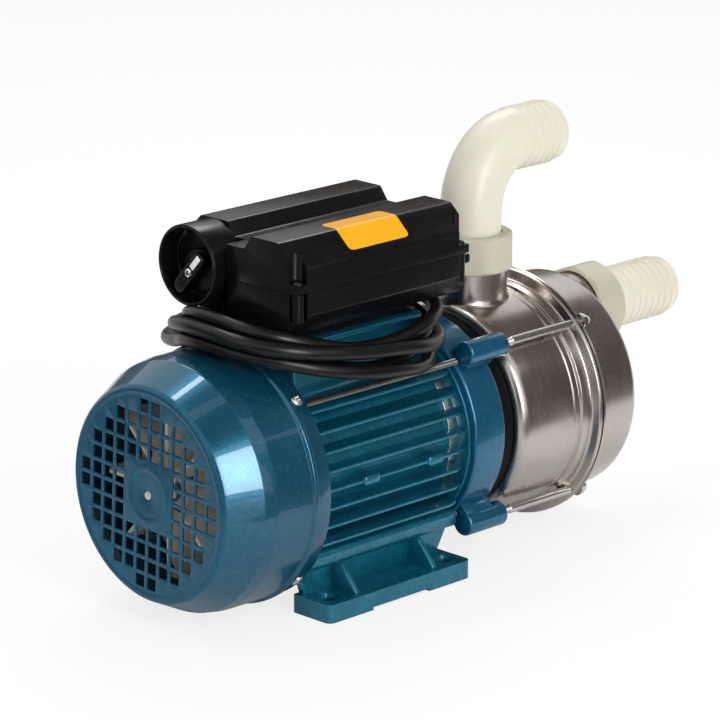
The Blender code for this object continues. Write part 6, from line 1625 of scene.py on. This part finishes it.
def openCorners(body, sizes, low, high, name):
    # each recess is open to the side of the box and to the end face it stands near
    for number, (x, y) in enumerate(sizes["posts"]):
        outward = 1 if y > 0 else -1
        near, far = sorted((y, y + outward * 8.0))
        atEnd = x > sizes["end"] - 10
        endFace = sizes["stepX"] if y > 0 else sizes["start"]
        reach = sizes["end"] + 2.0 if atEnd else x + sizes["recess"] * 0.82
        begin = endFace - 1.0 if x < endFace + 10 else x - sizes["recess"] * 0.82
        carve(body, piece(f"{name}Open{number}", *block((begin, near, low), (reach, far, high))))
        if atEnd:
            near, far = sorted((y + outward * 1.0, y - outward * sizes["recess"] * 0.82))
            carve(body, piece(f"{name}End{number}", *block((x, near, low), (reach, far, high))))


def makeBoxBase(sizes=boxSizes):
    half, seam, column = pick(sizes, "half seam column")
    outline = [(-half, seam), (-half, sizes["waist"]), (-sizes["waistHalf"], sizes["floor"]),
               (sizes["waistHalf"], sizes["floor"]), (half, sizes["waist"]), (half, seam)]
    base = stepped(rounded(outline, [0, 3.0, 3.0, 3.0, 3.0, 0], 5), sizes, sizes["start"], sizes["end"],
                   "boxBase")
    postHoles(base, sizes, column, seam + 3.0, "boxBase")
    openCorners(base, sizes, column, seam + 3.0, "boxBase")
    settled(bevelled(base, 0.9, 3, 35.0), 40.0)
    posts = []
    for number, (x, y) in enumerate(sizes["posts"]):
        line = [(column - 0.5, 0.0), (column - 0.5, 3.5), (seam - 0.4, 3.5), (seam - 0.4, 0.0)]
        posts.append(piece(f"boxColumn{number}", *lathe(line, 28, "z", (x, y), closed=False)))
    foot = softBlock("boxFoot", *sizes["foot"], 0.8)
    tab = softBlock("boxTab", *sizes["tab"], 1.0)
    return dress(united("boxBase", base, foot, tab, *posts), "pump", "boxPlastic", ("box_base",))


def lidOutline(sizes):
    half = [(sizes["half"], sizes["lidLow"]), (sizes["half"], sizes["corner"]),
            (sizes["topOut"], sizes["top"]), (sizes["topIn"], sizes["top"]),
            (sizes["valleyHalf"], sizes["valley"])]
    return half + [(-y, z) for y, z in half[::-1]]


def makeBoxLid(sizes=boxSizes):
    outline = rounded(lidOutline(sizes), [0, 3.2, 3.4, 2.6, 2.2, 2.2, 2.6, 3.4, 3.2, 0], 6)
    lid = stepped(outline, sizes, sizes["start"], sizes["end"], "boxLid")
    postHoles(lid, sizes, sizes["seat"], sizes["top"] + 5.0, "boxLid")
    openCorners(lid, sizes, sizes["seat"], sizes["top"] + 5.0, "boxLid")
    settled(bevelled(lid, 1.0, 3, 35.0), 40.0)
    return dress(lid, "pump", "boxPlastic", ("box_lid",))


def makeLidScrews(sizes=boxScrewSizes):
    pattern = screwPattern("lidScrew", sizes["head"], sizes["height"], sizes["shank"], sizes["length"],
                           sizes["recess"])
    places = [(x, y, boxSizes["seat"] + 0.05) for x, y in boxSizes["posts"]]
    screws = placeCopies("lidScrews", pattern, places, [aimed((0, 0, 1))] * 4, "blackedSteel")
    return dress(screws, "pump", None, numbered("lid_screw"))


def makeLabel(sizes=labelSizes):
    # thin blank film that follows the near hump: a strip of the flat top, the rounded edge, then the slope
    corner = sizes["corner"]
    edge = Vector((-boxSizes["topOut"], boxSizes["top"]))
    low = Vector((-boxSizes["half"], boxSizes["corner"]))
    slope = (low - edge).normalized()
    path = rounded([(sizes["inner"], boxSizes["top"]), tuple(edge), tuple(edge + slope * sizes["down"])],
                   [0, 3.4, 0], 6, closed=False)
    path = [Vector(p) for p in path]
    lengths = [0.0]
    for a, b in zip(path, path[1:]):
        lengths.append(lengths[-1] + (b - a).length)
    total = lengths[-1]

    def at(distance):
        for k in range(1, len(path)):
            if distance <= lengths[k] + 1e-9:
                share = (distance - lengths[k - 1]) / (lengths[k] - lengths[k - 1])
                return path[k - 1].lerp(path[k], share), (path[k] - path[k - 1]).normalized()
        return path[-1], (path[-1] - path[-2]).normalized()

    rows = [0.0, 0.5, 1.0, 1.8, 3.0] + [3.0 + (total - 6.0) * k / 22 for k in range(1, 22)]
    rows += [total - 3.0, total - 1.8, total - 1.0, total - 0.5, total]
    points, faces = [], []
    for distance in rows:
        spot, run = at(distance)
        out = Vector((run.y, -run.x))
        if out.y < 0:
            out = -out
        near = min(distance, total - distance, corner)
        trim = corner - math.sqrt(max(corner ** 2 - (corner - near) ** 2, 0.0))
        for x in (sizes["start"] + trim, sizes["end"] - trim):
            for lift in (0.02, sizes["film"]):
                points.append((x, spot.x + out.x * lift, spot.y + out.y * lift))
    for k in range(len(rows) - 1):
        a, b = 4 * k, 4 * (k + 1)
        faces += [(a + 1, a + 3, b + 3, b + 1), (a, b, b + 2, a + 2), (a, a + 1, b + 1, b),
                  (a + 2, b + 2, b + 3, a + 3)]
    last = 4 * (len(rows) - 1)
    faces += [(0, 2, 3, 1), (last, last + 1, last + 3, last + 2)]
    film = piece("blankLabel", points, faces, smooth=40.0)
    return dress(film, "pump", "labelFilm")


makeBoxBase()
makeBoxLid()
makeLidScrews()
makeLabel()
print("terminal box made")


# switch: cup, knob with its lever, pointer and screw
cupSizes = {"y": 26.2, "z": 110.8, "radius": 22.4, "wall": 1.7, "start": 53.0, "end": 74.2, "floor": 65.5,
            "lug": ((69.2, 15.2, 83.6), (74.2, 37.2, 92.0)), "tick": (1.0, 0.5)}
knobSizes = {"y": 26.2, "z": 106.4, "radius": 12.0, "plateStart": 62.0, "plateEnd": 65.2, "leverStart": 54.0,
             "leverLength": 30.0, "leverWidth": 8.4, "turn": 42.0, "pointer": (9.0, 3.2, 1.0),
             "pointerAt": 9.0, "screw": 2.7, "screwHeight": 1.7, "screwSink": 0.9}


def makeSwitchBody(sizes=cupSizes):
    y, z, radius, start, floor = pick(sizes, "y z radius start floor")
    spot = (y, z)
    inner = radius - sizes["wall"]
    line = [(sizes["end"], 0.0), (sizes["end"], radius), (start, radius), (start, inner), (floor, inner),
            (floor, 0.0)]
    profile = rounded(line, [0, 0.8, 0.8, 0.6, 1.2, 0], 4, closed=False)
    cup = piece("switchCup", *lathe(profile, 96, "x", spot, closed=False), smooth=40.0)
    lug = softBlock("switchLug", *sizes["lug"], 1.0)
    wide, deep = sizes["tick"]
    tick = softBlock("switchTick", (start - deep * 0.4, y - wide / 2, z + inner - 3.4),
                     (floor, y + wide / 2, z + inner + 0.2), 0.25, 2)
    return dress(united("switchBody", cup, lug, tick), "pump", "boxPlastic", ("switch_body",))


def makeKnob(sizes=knobSizes):
    plateStart, leverStart = pick(sizes, "plateStart leverStart")
    spot = (sizes["y"], sizes["z"])
    line = [(sizes["plateEnd"], 0.0), (sizes["plateEnd"], sizes["radius"]), (plateStart, sizes["radius"]),
            (plateStart, 0.0)]
    profile = rounded(line, [0, 0.5, 1.0, 0], 4, closed=False)
    plate = piece("knobPlate", *lathe(profile, 72, "x", spot, closed=False), smooth=40.0)
    a = math.radians(sizes["turn"])
    along, across = Vector((0, -math.sin(a), math.cos(a))), Vector((0, math.cos(a), math.sin(a)))
    base = []
    half, wide = sizes["leverLength"] / 2, sizes["leverWidth"] / 2
    for first, end in ((-90, half - wide), (90, -half + wide)):
        for k in range(9):
            b = math.radians(first + 22.5 * k)
            base.append(along * (end + wide * math.cos(b)) + across * wide * math.sin(b))
    lift = Vector((leverStart, sizes["y"], sizes["z"]))
    shape = solidFrom([tuple(lift + p) for p in base], (plateStart + 0.4 - leverStart, 0, 0))
    lever = settled(bevelled(piece("knobLever", *shape), 1.1, 4, 40.0), 40.0)
    seat = leverStart + sizes["screwSink"]
    drill(lever, "knobScrewSeat", leverStart - 1, seat, sizes["screw"] + 0.5, spot, "x", 32)
    dress(united("switchKnob", plate, lever), "knob", "boxPlastic", ("switch_knob",))

    long, wide, deep = (v / 2 for v in sizes["pointer"])
    middle = lift + along * sizes["pointerAt"]
    corners = [middle + along * s * long + across * t * wide - Vector((deep * 1.2, 0, 0))
               for s, t in ((-1, -1), (1, -1), (1, 1), (-1, 1))]
    mark = piece("knobPointer", *solidFrom([tuple(c) for c in corners], (deep * 2, 0, 0)))
    settled(bevelled(mark, 0.3, 3), 40.0)
    dress(mark, "knob", "whiteInsert", ("knob_pointer",))

    pattern = screwPattern("knobScrew", sizes["screw"], sizes["screwHeight"], 1.4, 2.0, 3.2)
    screw = placeCopies("knobScrew", pattern, [(seat, *spot)], [aimed((-1, 0, 0))], "polished")
    dress(screw, "knob", None, ("knob_screw",))


makeSwitchBody()
makeKnob()
print("switch made")


# inner pieces keep their CAD shape and get a finish
innerFinishes = {"stator_core": "coreSteel", "winding_rear": "copper", "winding_front": "copper",
                 "motor_shaft": "polished", "rotor_core": "coreSteel", "rear_bearing": "polished",
                 "front_bearing": "polished", "impeller": "fanPlastic", "impeller_nut": "zincSteel",
                 "seal_ring": "sealRubber", "seal_seat": "ceramic", "diffuser": "fanPlastic",
                 "run_capacitor": "capacitorShell", "terminal_block": "whiteInsert"}
for nodeName, finishName in innerFinishes.items():
    node = nodes[nodeName]
    node.data.materials.clear()
    node.data.materials.append(finish[finishName])
